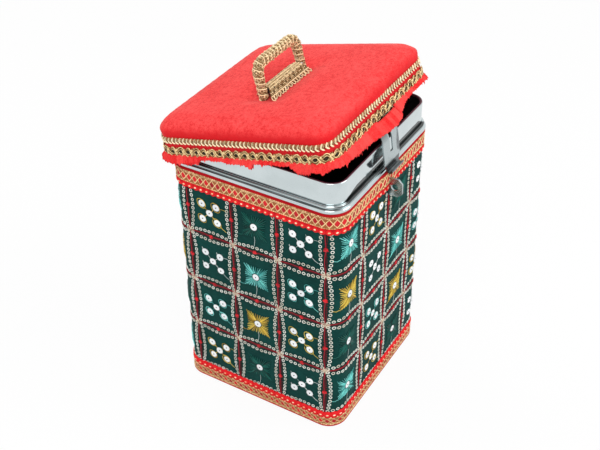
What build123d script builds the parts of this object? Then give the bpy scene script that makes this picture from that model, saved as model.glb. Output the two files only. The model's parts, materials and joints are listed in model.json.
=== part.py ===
from build123d import *
import math
import os

# A square sweets tin with a hinged, padded lid: a steel body covered in fabric and lace,
# a polished neck, a velvet lid with gold trims and a wrapped handle, and a hasp and staple.
# Millimetres. +Z is up and the origin is the centre of the base. The hasp is on the -Y
# side and the lid hinge on the +Y side. The lid's pieces are built closed and turned ajar.

# ---------------------------------------------------------------- driving sizes
# Body
body_width = 110.0              # across the fabric, both ways
body_corner_radius = 11.0       # outer corner of the fabric
body_height = 161.9             # floor to the top edge of wall and fabric
sheet = 0.5                     # steel sheet of body, collar and lid
fabric_thickness = 0.8
lace_thickness = 1.15
top_lace_height = 13.7
bottom_lace_height = 12.6
lace_lift = 0.4                 # lower edge of the bottom lace above the floor
base_recess = 3.0               # base plate above the floor

# Neck collar
neck_rise = 18.3                # shoulder to the top of the rim
collar_grip = 8.0               # collar length inside the wall
rim_radius = 0.9                # rim rolled inwards
shoulder_bead_radius = 1.5
upper_bead_radius = 1.0
bead_overhang = 1.3             # centre of the shoulder bead outside the neck

# Lid
lid_ajar_angle = 14.6           # degrees open from closed in the rest pose
lid_fit_gap = 1.7               # neck to the inside of the lid skirt
lid_corner_radius = 9.4         # outer corner of the velvet
lid_skirt_depth = 8.0
rim_gap = 0.3                   # rim to the lid's ceiling when closed
foam_thickness = 3.4
pad_edge_radius = 2.8           # rounding of the pad's top edge
velvet_thickness = 0.4
soft_gap = 0.05                 # between layers that are glued or sewn together

# Lid trims
braid_height = 3.6
braid_thickness = 0.6
braid_below_hem = 0.2           # lower edge of the braid below the lid's steel hem
tape_thickness = 0.45
tape_drop = 7.5                 # tape below the steel hem
tape_under_braid = 1.7
chain_height = 5.0
chain_thickness = 1.2
chain_below_tape = 0.3
fringe_drop = 4.3
fringe_flare = 3.6
fringe_thickness = 1.3
flap_drop = 6.8                 # the stretch of fringe that hangs over the hasp
flap_flare = 4.7
flap_thickness = 0.7
flap_seam_radius = 0.5          # rolled seam that it turns on
flap_overhang = 0.8             # wider than the hasp, each side
flap_side_gap = 0.3
flap_standoff = 1.2             # its seam outside the chain

# Lid hinge
hinge_standoff = 5.5            # pin axis outside the fabric
hinge_below_shoulder = 5.9
hinge_width = 30.0
hinge_leaf_thickness = 0.8
hinge_knuckle_radius = 2.2
hinge_pin_radius = 1.0
hinge_middle_knuckle = 10.0
hinge_leaf_height = 17.0        # flat part of the leaf on the body
hinge_lid_leaf_height = 11.5    # flat part of the leaf on the lid
pin_clearance = 0.05
knuckle_gap = 0.3
hinge_rivet_spacing = 20.0
hinge_rivet_rows = 8.0          # between the two rows on the body leaf

# Rivets
rivet_radius = 1.25
rivet_head_radius = 2.3
rivet_head_height = 0.7

# Hasp on the lid
hasp_width = 18.0
hasp_thickness = 0.8
hasp_reach = 28.2               # pin to the lower edge of the flat strap
hasp_joggle = 0.6               # step outwards that clears the rim
hasp_joggle_drop = 7.4          # pin to the start of the step
hasp_joggle_length = 3.8
hasp_lean = 2.1                 # the strap's lower end leans back to the wall
hasp_corner_cut = 4.0
hasp_lip_width = 14.0
hasp_slot_width = 3.0
hasp_slot_gap = 1.0             # slot longer than the staple, at each end
hasp_knuckle_radius = 1.1
hasp_pin_radius = 0.6
hasp_bracket_width = 16.0
hasp_middle_knuckle = 7.6
hasp_bracket_thickness = 0.4
hasp_pin_below_tape = 1.8
hasp_pin_out = 2.2              # pin axis outside the lid's steel skirt

# Staple on the body
staple_plate_width = 15.0
staple_plate_height = 11.0
staple_plate_thickness = 0.5
staple_tab_thickness = 1.2
staple_tab_height = 11.6
staple_tab_reach = 9.6          # from the plate to the outer edge
staple_hole_radius = 2.1
staple_below_shoulder = 11.1    # eye centre below the shoulder
staple_rivet_spacing = 9.0
small_rivet_radius = 0.8
small_rivet_head_radius = 1.4
small_rivet_head_height = 0.35

# Handle
handle_shift_x = -3.5
handle_shift_y = 0.5
handle_foot_span = 40.4         # between the leg centres at the lid
handle_top_span = 39.4
handle_rise = 17.7              # bottom bar to top bar, centre to centre
handle_rod_radius = 2.2
handle_wrap_radius = 3.2
handle_top_bend = 6.0
handle_foot_bend = 3.0
saddle_length = 24.0
saddle_thickness = 0.6
saddle_flange = 4.6
saddle_screw_spacing = 16.0
ribbon_length = 32.6
ribbon_thickness = 0.7
ribbon_width_half = 8.0
screw_radius = 1.25
screw_head_radius = 2.1
screw_head_height = 1.2
screw_clearance = 0.05
nut_radius = 2.6
nut_height = 2.0

# ---------------------------------------------------------------- worked out from them
body_half = body_width / 2
wall_half = body_half - fabric_thickness
neck_half = wall_half - sheet
neck_corner_radius = body_corner_radius - fabric_thickness - sheet
rim_z = body_height + neck_rise

hinge_y = body_half + hinge_standoff
hinge_z = body_height - hinge_below_shoulder

skirt_half = neck_half + lid_fit_gap + sheet            # outside of the lid's steel skirt
velvet_half = skirt_half + soft_gap + velvet_thickness
skirt_corner_radius = lid_corner_radius - soft_gap - velvet_thickness
ceiling_z = rim_z + rim_gap
pan_top_z = ceiling_z + sheet
hem_z = pan_top_z - lid_skirt_depth
seat_z = pan_top_z + foam_thickness + velvet_thickness  # top of the velvet

braid_z = hem_z - braid_below_hem
tape_half = velvet_half + soft_gap + tape_thickness
tape_z = hem_z - tape_drop
chain_z = tape_z - chain_below_tape
trim_half = tape_half + soft_gap                        # inside of braid and chain

hasp_pin_y = -(skirt_half + hasp_pin_out)
hasp_pin_z = tape_z - hasp_pin_below_tape
flap_y = -(trim_half + chain_thickness + flap_standoff)
flap_z = chain_z
staple_z = body_height - staple_below_shoulder
handle_bar_z = seat_z + soft_gap + handle_rod_radius
fringe_z = chain_z - fringe_drop


# ---------------------------------------------------------------- helpers
def block(half, radius, low, high):
    """Upright square prism with rounded corners, centred on the Z axis."""
    return Pos(0, 0, low) * extrude(RectangleRounded(2 * half, 2 * half, radius), high - low)


def band(half, radius, thickness, low, high):
    """Square band of one thickness; half and radius are those of its outer face."""
    inner = block(half - thickness, radius - thickness, low - 1, high + 1)
    return block(half, radius, low, high) - inner


def box_between(low, high):
    """Plain box from its lowest to its highest corner."""
    size = [b - a for a, b in zip(low, high)]
    centre = [(a + b) / 2 for a, b in zip(low, high)]
    return Pos(*centre) * Box(*size)


def rod_x(y, z, radius, x0, x1):
    """Round bar along X."""
    return Pos((x0 + x1) / 2, y, z) * Rot(0, 90, 0) * Cylinder(radius, x1 - x0)


def rod_y(x, z, radius, y0, y1):
    """Round bar along Y."""
    return Pos(x, (y0 + y1) / 2, z) * Rot(90, 0, 0) * Cylinder(radius, abs(y1 - y0))


def rod_z(x, y, radius, z0, z1):
    """Round bar along Z."""
    return Pos(x, y, (z0 + z1) / 2) * Cylinder(radius, z1 - z0)


def bent_strip(points, thickness, width):
    """Sheet strip bent along a line of (y, z) points, centred on x = 0."""
    sides = ([], [])
    for i, point in enumerate(points):
        ahead = Vector(*points[min(i + 1, len(points) - 1)]) - Vector(*points[max(i, 0)])
        behind = Vector(*point) - Vector(*points[max(i - 1, 0)])
        if i == 0:
            behind = ahead
        if i == len(points) - 1:
            ahead = behind
        first = behind.normalized()
        second = ahead.normalized()
        along = (first + second).normalized()
        across = Vector(-along.Y, along.X)
        reach = thickness / 2 / along.dot(first)
        sides[0].append((point[0] + across.X * reach, point[1] + across.Y * reach))
        sides[1].append((point[0] - across.X * reach, point[1] - across.Y * reach))
    outline = Polyline(*sides[0], *reversed(sides[1]), close=True)
    return extrude(Plane.YZ * make_face(outline), width / 2, both=True)


def rounded_rail(half, radius, z):
    """Closed square path with rounded corners that starts midway along the +X side."""
    run = half - radius
    diagonal = radius * math.sqrt(0.5)
    path = []
    for turn in range(4):
        spin = Rot(0, 0, 90 * turn)
        first = Line((half, 0, z), (half, run, z))
        middle = (run + diagonal, run + diagonal, z)
        corner = ThreePointArc((half, run, z), middle, (run, half, z))
        last = Line((run, half, z), (0, half, z))
        path += [spin * first, spin * corner, spin * last]
    return Wire(path)


def bead(half, radius, z, bead_radius):
    """Round bead whose centre line is a square with rounded corners."""
    rail = rounded_rail(half, radius, z)
    section = Plane((half, 0, z), x_dir=(1, 0, 0), z_dir=(0, 1, 0)) * Circle(bead_radius)
    return sweep(section, path=rail)


def rivet(x, z, face, far_face, radius, head_radius, head_height):
    """Rivet along Y with a domed head on face and a flat one on far_face."""
    out = 1 if face > far_face else -1
    shank = rod_y(x, z, radius, face, far_face)
    head = rod_y(x, z, head_radius, face, face + out * head_height)
    rim = head.edges().filter_by(GeomType.CIRCLE).sort_by(Axis.Y)[-1 if out > 0 else 0]
    head = fillet(rim, head_height * 0.6)
    tail = rod_y(x, z, head_radius * 0.8, far_face, far_face - out * head_height)
    return shank + head + tail


def ajar(piece):
    """Turns a piece of the closed lid to the rest pose."""
    return piece.rotate(Axis((0, hinge_y, hinge_z), (-1, 0, 0)), lid_ajar_angle)


def save(name, piece):
    """Writes one node's file."""
    piece.label = name
    export_step(piece, f"parts/{name}.step")


def group(pieces):
    """Separate solids kept in one node."""
    return Compound(children=[solid for piece in pieces for solid in piece.solids()])


# ---------------------------------------------------------------- places of fasteners
leaf_low = hinge_z - hinge_knuckle_radius - 3.3 - hinge_leaf_height
leaf_rivets = [
    (sx * hinge_rivet_spacing / 2, leaf_low + hinge_leaf_height / 2 + sz * hinge_rivet_rows / 2)
    for sx in (-1, 1)
    for sz in (-1, 1)
]
lid_leaf_top = pan_top_z - 1.5
lid_rivets = [(sx * hinge_rivet_spacing / 2, hem_z + 3.5) for sx in (-1, 1)]
staple_plate_top = body_height - 1.0
staple_rivets = [
    (sx * staple_rivet_spacing / 2, staple_plate_top - staple_plate_height / 2)
    for sx in (-1, 1)
]
bracket_rivets = [(sx * staple_rivet_spacing / 2, hem_z + 3.5) for sx in (-1, 1)]
flange_middle = handle_rod_radius + saddle_thickness + saddle_flange / 2
handle_screws = [
    (handle_shift_x + sx * saddle_screw_spacing / 2, handle_shift_y + sy * flange_middle)
    for sx in (-1, 1)
    for sy in (-1, 1)
]


def holes_y(places, radius, y0, y1):
    """Round cutters along Y, one at each (x, z) place."""
    return Compound(children=[rod_y(x, z, radius, y0, y1) for x, z in places])


def screw_holes():
    """Round cutters for the handle screws."""
    radius = screw_radius + screw_clearance
    return [rod_z(x, y, radius, ceiling_z - 5, seat_z + 5) for x, y in handle_screws]


# ---------------------------------------------------------------- body pieces
def tin_wall():
    """Square steel tube, folded in and seamed to the base plate at its foot."""
    wall = band(wall_half, body_corner_radius - fabric_thickness, sheet, 0, body_height)
    wall -= holes_y(leaf_rivets, rivet_radius, wall_half - 3, wall_half + 3)
    wall -= holes_y(staple_rivets, small_rivet_radius, -wall_half - 3, -wall_half + 3)
    return wall


def tin_base():
    """Pressed base plate with an upstand that is seamed inside the wall's foot."""
    half = wall_half - sheet
    radius = neck_corner_radius
    plate = block(half, radius, base_recess, base_recess + sheet)
    return plate + band(half, radius, sheet, 0, base_recess + sheet)


def neck_collar():
    """Polished collar: neck, rolled rim and the double bead that sits on the wall."""
    low = body_height - collar_grip
    collar = band(neck_half, neck_corner_radius, sheet, low, rim_z - rim_radius)
    rim_half = neck_half - rim_radius
    rim_corner = neck_corner_radius - rim_radius
    collar += bead(rim_half, rim_corner, rim_z - rim_radius, rim_radius)
    bead_z = body_height + shoulder_bead_radius
    bead_half = neck_half + bead_overhang
    bead_corner = neck_corner_radius + bead_overhang
    collar += bead(bead_half, bead_corner, bead_z, shoulder_bead_radius)
    upper_half = neck_half + upper_bead_radius * 0.7
    upper_corner = neck_corner_radius + upper_bead_radius * 0.7
    upper_z = bead_z + shoulder_bead_radius + upper_bead_radius * 0.8
    collar += bead(upper_half, upper_corner, upper_z, upper_bead_radius)
    return collar - holes_y(staple_rivets, small_rivet_radius, -neck_half - 3, -neck_half + 3)


def fabric_sleeve():
    """Embroidered fabric glued round the wall."""
    sleeve = band(body_half, body_corner_radius, fabric_thickness, lace_lift, body_height)
    sleeve -= holes_y(leaf_rivets, rivet_radius, body_half - 3, body_half + 3)
    sleeve -= holes_y(staple_rivets, small_rivet_radius, -body_half - 3, -body_half + 3)
    return sleeve


def lace_band(low, high):
    """Lace band just outside the fabric."""
    out = soft_gap + lace_thickness
    return band(body_half + out, body_corner_radius + out, lace_thickness, low, high)


def bottom_lace():
    """Lace round the foot of the body."""
    return lace_band(lace_lift, lace_lift + bottom_lace_height)


def top_lace():
    """Lace under the shoulder: raised over the staple plate, parted for tab and hinge."""
    low = body_height - top_lace_height
    lace = lace_band(low, body_height)
    face = body_half + soft_gap
    cover = staple_plate_thickness + small_rivet_head_height + 4 * soft_gap
    reach = staple_plate_width / 2 + 1
    plate_low = staple_plate_top - staple_plate_height
    bulge_low = max(low, plate_low - 1)
    bulge = box_between(
        (-reach - 1, -face - cover - 0.4, bulge_low),
        (reach + 1, -face, body_height),
    )
    pocket = box_between(
        (-reach, -face - cover, plate_low - 0.3),
        (reach, -face + 1, staple_plate_top + 0.3),
    )
    lace = lace + bulge - pocket
    slit = staple_tab_thickness / 2 + 0.3
    lace -= box_between((-slit, -face - 9, low - 1), (slit, -face + 1, staple_plate_top))
    gap = hinge_width / 2 + 1
    return lace - box_between((-gap, 0, low - 1), (gap, face + 9, body_height + 1))


# ---------------------------------------------------------------- lid hinge
def hinge_barrel(x0, x1):
    """Knuckle ring of the lid hinge between two places along X."""
    ring = rod_x(hinge_y, hinge_z, hinge_knuckle_radius, x0, x1)
    return ring - rod_x(hinge_y, hinge_z, hinge_pin_radius + pin_clearance, x0 - 1, x1 + 1)


def hinge_clearance(x0, x1):
    """Room round the pin for the other leaf's knuckle."""
    return rod_x(hinge_y, hinge_z, hinge_knuckle_radius + knuckle_gap, x0, x1)


def hinge_body_leaf():
    """Leaf riveted to the back wall, with the two outer knuckles."""
    face = body_half + soft_gap + hinge_leaf_thickness / 2
    bend = leaf_low + hinge_leaf_height
    mean = hinge_knuckle_radius - hinge_leaf_thickness / 2
    points = [
        (face, leaf_low),
        (face, bend),
        (hinge_y - 0.4 * mean, hinge_z - mean),
    ]
    half = hinge_width / 2
    leaf = bent_strip(points, hinge_leaf_thickness, hinge_width)
    leaf += rod_x(hinge_y, hinge_z, hinge_knuckle_radius, -half, half)
    middle = hinge_middle_knuckle / 2 + knuckle_gap / 2
    leaf -= hinge_clearance(-middle, middle)
    leaf -= rod_x(hinge_y, hinge_z, hinge_pin_radius + pin_clearance, -half - 1, half + 1)
    return leaf - holes_y(leaf_rivets, rivet_radius, body_half - 3, body_half + 3)


def hinge_lid_leaf():
    """Leaf riveted to the lid's back skirt, stepped out to the middle knuckle."""
    face = velvet_half + soft_gap + hinge_leaf_thickness / 2
    bend = lid_leaf_top - hinge_lid_leaf_height
    mean = hinge_knuckle_radius - hinge_leaf_thickness / 2
    points = [
        (face, lid_leaf_top),
        (face, bend),
        (hinge_y - 0.4 * mean, hinge_z + mean),
    ]
    half = hinge_width / 2
    leaf = bent_strip(points, hinge_leaf_thickness, hinge_width)
    middle = hinge_middle_knuckle / 2 - knuckle_gap / 2
    leaf += rod_x(hinge_y, hinge_z, hinge_knuckle_radius, -middle, middle)
    leaf -= hinge_clearance(-half - 1, -middle)
    leaf -= hinge_clearance(middle, half + 1)
    leaf -= rod_x(hinge_y, hinge_z, hinge_pin_radius + pin_clearance, -half - 1, half + 1)
    return leaf - holes_y(lid_rivets, rivet_radius, velvet_half - 3, velvet_half + 3)


def hinge_pin():
    """Headed pin through the three knuckles."""
    half = hinge_width / 2 + pin_clearance
    head = hinge_pin_radius * 1.6
    pin = rod_x(hinge_y, hinge_z, hinge_pin_radius, -half, half)
    pin += rod_x(hinge_y, hinge_z, head, half, half + 0.7)
    return pin + rod_x(hinge_y, hinge_z, head, -half - 0.7, -half)


def hinge_body_rivets():
    """Four rivets through leaf, fabric and wall."""
    face = body_half + soft_gap + hinge_leaf_thickness
    size = (rivet_radius, rivet_head_radius, rivet_head_height)
    return group([rivet(x, z, face, wall_half - sheet, *size) for x, z in leaf_rivets])


def hinge_lid_rivets():
    """Two rivets through leaf, velvet and the lid's skirt."""
    face = velvet_half + soft_gap + hinge_leaf_thickness
    size = (rivet_radius, rivet_head_radius, rivet_head_height)
    return group([rivet(x, z, face, skirt_half - sheet, *size) for x, z in lid_rivets])


# ---------------------------------------------------------------- staple
def staple():
    """Plate under the lace with an upright tab and a round padlock eye."""
    face = -(body_half + soft_gap)
    half = staple_plate_width / 2
    outer = face - staple_plate_thickness
    low = staple_plate_top - staple_plate_height
    plate = box_between((-half, outer, low), (half, face, staple_plate_top))
    plate -= holes_y(staple_rivets, small_rivet_radius, face - 3, face + 3)
    tip = outer - staple_tab_reach
    rise = staple_tab_height / 2
    corner = rise * 0.45
    outline = Polyline(
        (outer, staple_z + rise),
        (tip + corner, staple_z + rise),
        (tip, staple_z + rise - corner),
        (tip, staple_z - rise + corner),
        (tip + corner, staple_z - rise),
        (outer - 1.5, staple_z - rise),
        (outer, staple_z - rise + 1.5),
        close=True,
    )
    tab = extrude(Plane.YZ * make_face(outline), staple_tab_thickness / 2, both=True)
    eye_y = outer - staple_tab_reach / 2
    return plate + tab - rod_x(eye_y, staple_z, staple_hole_radius, -5, 5)


def staple_rivet_pair():
    """Two small rivets that hold the staple to the front wall and collar."""
    face = -(body_half + soft_gap + staple_plate_thickness)
    size = (small_rivet_radius, small_rivet_head_radius, small_rivet_head_height)
    return group([rivet(x, z, face, -neck_half + sheet, *size) for x, z in staple_rivets])


# ---------------------------------------------------------------- lid pieces
def lid_pan():
    """Pressed steel lid with a shallow skirt."""
    pan = block(skirt_half, skirt_corner_radius, hem_z, pan_top_z)
    pan = fillet(pan.faces().sort_by(Axis.Z)[-1].edges(), 3 * sheet)
    inner = block(skirt_half - sheet, skirt_corner_radius - sheet, hem_z - 1, ceiling_z)
    inner = fillet(inner.faces().sort_by(Axis.Z)[-1].edges(), 2 * sheet)
    pan -= inner
    pan -= holes_y(lid_rivets, rivet_radius, skirt_half - 3, skirt_half + 3)
    pan -= holes_y(bracket_rivets, small_rivet_radius, -skirt_half - 3, -skirt_half + 3)
    for hole in screw_holes():
        pan -= hole
    return pan


def pad_solid(grow, low):
    """Padded outline of the lid, grown outwards all round, down to a given height."""
    half = skirt_half + grow
    pad = block(half, skirt_corner_radius + grow, low, pan_top_z + foam_thickness + grow)
    return fillet(pad.faces().sort_by(Axis.Z)[-1].edges(), pad_edge_radius + grow)


def lid_foam():
    """Foam pad glued on the steel lid."""
    foam = pad_solid(0, pan_top_z)
    for hole in screw_holes():
        foam -= hole
    return foam


def velvet_cover():
    """Velvet stretched over the pad and down the skirt, parted for the hasp bracket."""
    cover = pad_solid(soft_gap + velvet_thickness, hem_z)
    cover -= pad_solid(soft_gap, hem_z - 1)
    for hole in screw_holes():
        cover -= hole
    cover -= holes_y(lid_rivets, rivet_radius, velvet_half - 3, velvet_half + 3)
    gap = hasp_bracket_width / 2 + 0.3
    top = pan_top_z - 3 * sheet
    return cover - box_between((-gap, -velvet_half - 3, hem_z - 1), (gap, 0, top))


def parted(trim):
    """Trim band parted at the back for the hinge leaf."""
    gap = hinge_width / 2 + 0.5
    return trim - box_between((-gap, 0, fringe_z - 9), (gap, velvet_half + 20, seat_z))


def gold_braid():
    """Woven gold braid round the lid's edge."""
    half = trim_half + braid_thickness
    radius = lid_corner_radius + half - velvet_half
    return parted(band(half, radius, braid_thickness, braid_z, braid_z + braid_height))


def red_tape():
    """Red tape that hangs below the steel hem and carries the chain and fringe."""
    radius = lid_corner_radius + tape_half - velvet_half
    top = braid_z + tape_under_braid
    return parted(band(tape_half, radius, tape_thickness, tape_z, top))


def chain_lace():
    """Gold chain lace sewn on the tape."""
    half = trim_half + chain_thickness
    radius = lid_corner_radius + half - velvet_half
    return parted(band(half, radius, chain_thickness, chain_z, chain_z + chain_height))


def net_fringe():
    """Gathered net fringe that flares out below the tape, parted at hinge and hasp."""
    inner = tape_half - tape_thickness
    radius = lid_corner_radius + inner - velvet_half

    def flared(grow):
        low = RectangleRounded(
            2 * (inner + grow + fringe_flare),
            2 * (inner + grow + fringe_flare),
            radius + grow + fringe_flare,
        )
        high = RectangleRounded(2 * (inner + grow), 2 * (inner + grow), radius + grow)
        return loft([Pos(0, 0, fringe_z) * low, Pos(0, 0, chain_z) * high])

    fringe = parted(flared(fringe_thickness) - flared(0))
    gap = hasp_width / 2 + flap_overhang + flap_side_gap
    return fringe - box_between((-gap, -velvet_half - 20, fringe_z - 9), (gap, 0, seat_z))


def fringe_flap():
    """The stretch of fringe over the hasp, which lifts with it."""
    points = [(flap_y, flap_z), (flap_y - flap_flare, flap_z - flap_drop)]
    half = hasp_width / 2 + flap_overhang
    flap = bent_strip(points, flap_thickness, 2 * half)
    return flap + rod_x(flap_y, flap_z, flap_seam_radius, -half, half)


# ---------------------------------------------------------------- hasp
def hasp_line():
    """Bends of the hasp strap as (y, z), from the pin down to the curled lip."""
    step = hasp_pin_y - hasp_joggle
    end = hasp_pin_z - hasp_reach
    back = step + hasp_lean
    lip = 1.4
    return [
        (hasp_pin_y, hasp_pin_z - hasp_knuckle_radius * 0.5),
        (hasp_pin_y, hasp_pin_z - hasp_joggle_drop),
        (step, hasp_pin_z - hasp_joggle_drop - hasp_joggle_length),
        (back, end),
        (back - 0.25 * lip, end - 0.9 * lip),
        (back - lip, end - 1.5 * lip),
        (back - 2 * lip, end - 1.3 * lip),
        (back - 2.4 * lip, end - 0.6 * lip),
    ]


def hasp_strap():
    """Hinged strap with a slot for the staple and a lip to lift it by."""
    points = hasp_line()
    strap = bent_strip(points, hasp_thickness, hasp_width)
    low = points[3][1]
    half = hasp_width / 2
    lip_half = hasp_lip_width / 2
    for side in (-1, 1):
        cut = Polyline(
            (side * half, low + hasp_corner_cut),
            (side * lip_half, low),
            (side * lip_half, low - 9),
            (side * (half + 9), low - 9),
            (side * (half + 9), low + hasp_corner_cut),
            close=True,
        )
        strap -= Pos(0, hasp_pin_y, 0) * extrude(Plane.XZ * make_face(cut), 15, both=True)
    bore = hasp_pin_radius + pin_clearance
    middle = hasp_middle_knuckle / 2 - knuckle_gap / 2
    strap += rod_x(hasp_pin_y, hasp_pin_z, hasp_knuckle_radius, -middle, middle)
    room = hasp_knuckle_radius + knuckle_gap
    strap -= rod_x(hasp_pin_y, hasp_pin_z, room, -half - 1, -middle)
    strap -= rod_x(hasp_pin_y, hasp_pin_z, room, middle, half + 1)
    strap -= rod_x(hasp_pin_y, hasp_pin_z, bore, -half, half)
    slot = staple_tab_height / 2 + hasp_slot_gap
    wide = hasp_slot_width / 2
    return strap - box_between(
        (-wide, hasp_pin_y - 15, staple_z - slot),
        (wide, hasp_pin_y + 15, staple_z + slot),
    )


def hasp_bracket():
    """Plate riveted to the lid's front skirt under the velvet, with two knuckles."""
    face = -(skirt_half + soft_gap + hasp_bracket_thickness / 2)
    mean = hasp_knuckle_radius - hasp_bracket_thickness / 2
    points = [
        (face, pan_top_z - 3.5 * sheet),
        (face, chain_z + 0.1),
        (hasp_pin_y + 0.5 * mean, hasp_pin_z + mean * 0.85),
    ]
    half = hasp_bracket_width / 2
    bracket = bent_strip(points, hasp_bracket_thickness, hasp_bracket_width)
    bracket += rod_x(hasp_pin_y, hasp_pin_z, hasp_knuckle_radius, -half, half)
    middle = hasp_middle_knuckle / 2 + knuckle_gap / 2
    room = hasp_knuckle_radius + knuckle_gap
    bracket -= rod_x(hasp_pin_y, hasp_pin_z, room, -middle, middle)
    bore = hasp_pin_radius + pin_clearance
    bracket -= rod_x(hasp_pin_y, hasp_pin_z, bore, -half - 1, half + 1)
    return bracket - holes_y(bracket_rivets, small_rivet_radius, face - 3, face + 3)


def hasp_pin():
    """Pin of the hasp, with small heads outside the bracket's knuckles."""
    half = hasp_bracket_width / 2 + pin_clearance
    head = hasp_pin_radius * 1.5
    pin = rod_x(hasp_pin_y, hasp_pin_z, hasp_pin_radius, -half, half)
    pin += rod_x(hasp_pin_y, hasp_pin_z, head, half, half + 0.4)
    return pin + rod_x(hasp_pin_y, hasp_pin_z, head, -half - 0.4, -half)


def hasp_bracket_rivets():
    """Two small rivets that hold the bracket to the skirt."""
    face = -(skirt_half + soft_gap + hasp_bracket_thickness)
    size = (small_rivet_radius, small_rivet_head_radius, small_rivet_head_height)
    return group([rivet(x, z, face, -skirt_half + sheet, *size) for x, z in bracket_rivets])


# ---------------------------------------------------------------- handle
def handle_path(foot_z):
    """Legs and top bar of the handle, from one foot to the other, as (x, z) points."""
    lean = (handle_foot_span - handle_top_span) / 2 / handle_rise
    top_z = handle_bar_z + handle_rise
    foot = handle_foot_span / 2 - lean * (foot_z - handle_bar_z)
    top = handle_top_span / 2
    return [(-foot, foot_z), (-top, top_z), (top, top_z), (foot, foot_z)]


def at_handle(points):
    """Moves (x, z) points to the handle's place on the lid."""
    return [(x + handle_shift_x, handle_shift_y, z) for x, z in points]


def tube_along(path, radius):
    """Round bar swept along a path."""
    return sweep(Plane(origin=path @ 0, z_dir=path % 0) * Circle(radius), path=path)


def handle_loop():
    """Bent steel rod: a bottom bar on the lid, two legs and a top bar."""
    corners = handle_path(handle_bar_z)
    start = (-saddle_length / 2, handle_bar_z)
    stop = (saddle_length / 2, handle_bar_z)
    points = at_handle([start] + corners + [stop])
    bends = [handle_foot_bend, handle_top_bend, handle_top_bend, handle_foot_bend]
    loop = tube_along(FilletPolyline(*points, radius=bends), handle_rod_radius)
    x0 = handle_shift_x - saddle_length / 2
    return loop + rod_x(handle_shift_y, handle_bar_z, handle_rod_radius, x0, x0 + saddle_length)


def handle_wrap():
    """Gold lace wound round the legs and top bar."""
    foot_z = handle_bar_z + handle_foot_bend + 0.2
    points = at_handle(handle_path(foot_z))
    path = FilletPolyline(*points, radius=handle_top_bend)
    return tube_along(path, handle_wrap_radius) - tube_along(path, handle_rod_radius + soft_gap)


def handle_saddle():
    """Steel saddle over the bottom bar with a flange each side for the screws."""
    inner = handle_rod_radius + soft_gap
    outer = inner + saddle_thickness
    low = seat_z + soft_gap
    x0 = handle_shift_x - saddle_length / 2
    x1 = x0 + saddle_length
    y = handle_shift_y
    saddle = rod_x(y, handle_bar_z, outer, x0, x1)
    saddle += box_between((x0, y - outer, low), (x1, y + outer, handle_bar_z))
    reach = outer + saddle_flange
    top = low + saddle_thickness
    saddle += box_between((x0, y - reach, low), (x1, y + reach, top))
    saddle -= rod_x(y, handle_bar_z, inner, x0 - 1, x1 + 1)
    saddle -= box_between((x0 - 1, y - inner, low - 2), (x1 + 1, y + inner, handle_bar_z))
    saddle -= box_between((x0 - 1, y - reach - 1, low - 5), (x1 + 1, y + reach + 1, low))
    for hole in screw_holes():
        saddle -= hole
    return saddle


def handle_ribbon():
    """Gold lace ribbon laid over the saddle like a tent."""
    crest = handle_bar_z + handle_rod_radius + saddle_thickness + 2 * soft_gap
    half = ribbon_thickness / 2
    foot = seat_z + soft_gap
    points = [
        (-ribbon_width_half, foot),
        (-ribbon_width_half + 0.4, seat_z + 2.6 + half),
        (-2.0, crest + half),
        (2.0, crest + half),
        (ribbon_width_half - 0.4, seat_z + 2.6 + half),
        (ribbon_width_half, foot),
    ]
    strip = bent_strip(points, ribbon_thickness, ribbon_length)
    strip = Pos(handle_shift_x, handle_shift_y, 0) * strip
    return strip - block(skirt_half, lid_corner_radius, foot - 3, foot)


def handle_screw_set():
    """Four pan-head screws through flange, velvet, foam and steel."""
    low = seat_z + soft_gap + saddle_thickness
    pieces = []
    for x, y in handle_screws:
        head = rod_z(x, y, screw_head_radius, low, low + screw_head_height)
        head = fillet(head.faces().sort_by(Axis.Z)[-1].edges(), screw_head_height * 0.5)
        pieces.append(head + rod_z(x, y, screw_radius, ceiling_z - nut_height - 0.6, low))
    return group(pieces)


def handle_nuts():
    """Hexagon nuts under the steel lid."""
    pieces = []
    for x, y in handle_screws:
        nut = extrude(RegularPolygon(nut_radius, 6), nut_height)
        nut = Pos(x, y, ceiling_z - nut_height) * nut
        bore = rod_z(x, y, screw_radius, ceiling_z - nut_height - 1, ceiling_z + 1)
        pieces.append(nut - bore)
    return group(pieces)


# ---------------------------------------------------------------- build
os.makedirs("parts", exist_ok=True)

body_pieces = {
    "tin_wall": tin_wall,
    "tin_base": tin_base,
    "neck_collar": neck_collar,
    "fabric_sleeve": fabric_sleeve,
    "top_lace": top_lace,
    "bottom_lace": bottom_lace,
    "hinge_body_leaf": hinge_body_leaf,
    "hinge_body_rivets": hinge_body_rivets,
    "hinge_pin": hinge_pin,
    "staple": staple,
    "staple_rivets": staple_rivet_pair,
}
lid_pieces = {
    "lid_pan": lid_pan,
    "lid_foam": lid_foam,
    "velvet_cover": velvet_cover,
    "gold_braid": gold_braid,
    "red_tape": red_tape,
    "chain_lace": chain_lace,
    "net_fringe": net_fringe,
    "fringe_flap": fringe_flap,
    "hinge_lid_leaf": hinge_lid_leaf,
    "hinge_lid_rivets": hinge_lid_rivets,
    "hasp_bracket": hasp_bracket,
    "hasp_bracket_rivets": hasp_bracket_rivets,
    "hasp_pin": hasp_pin,
    "hasp_strap": hasp_strap,
    "handle_loop": handle_loop,
    "handle_wrap": handle_wrap,
    "handle_saddle": handle_saddle,
    "handle_ribbon": handle_ribbon,
    "handle_screws": handle_screw_set,
    "handle_nuts": handle_nuts,
}

for name, make in body_pieces.items():
    save(name, make())
for name, make in lid_pieces.items():
    save(name, ajar(make()))
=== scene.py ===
import json
import math
import random

import bpy
import numpy as np
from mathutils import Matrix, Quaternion, Vector


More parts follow.
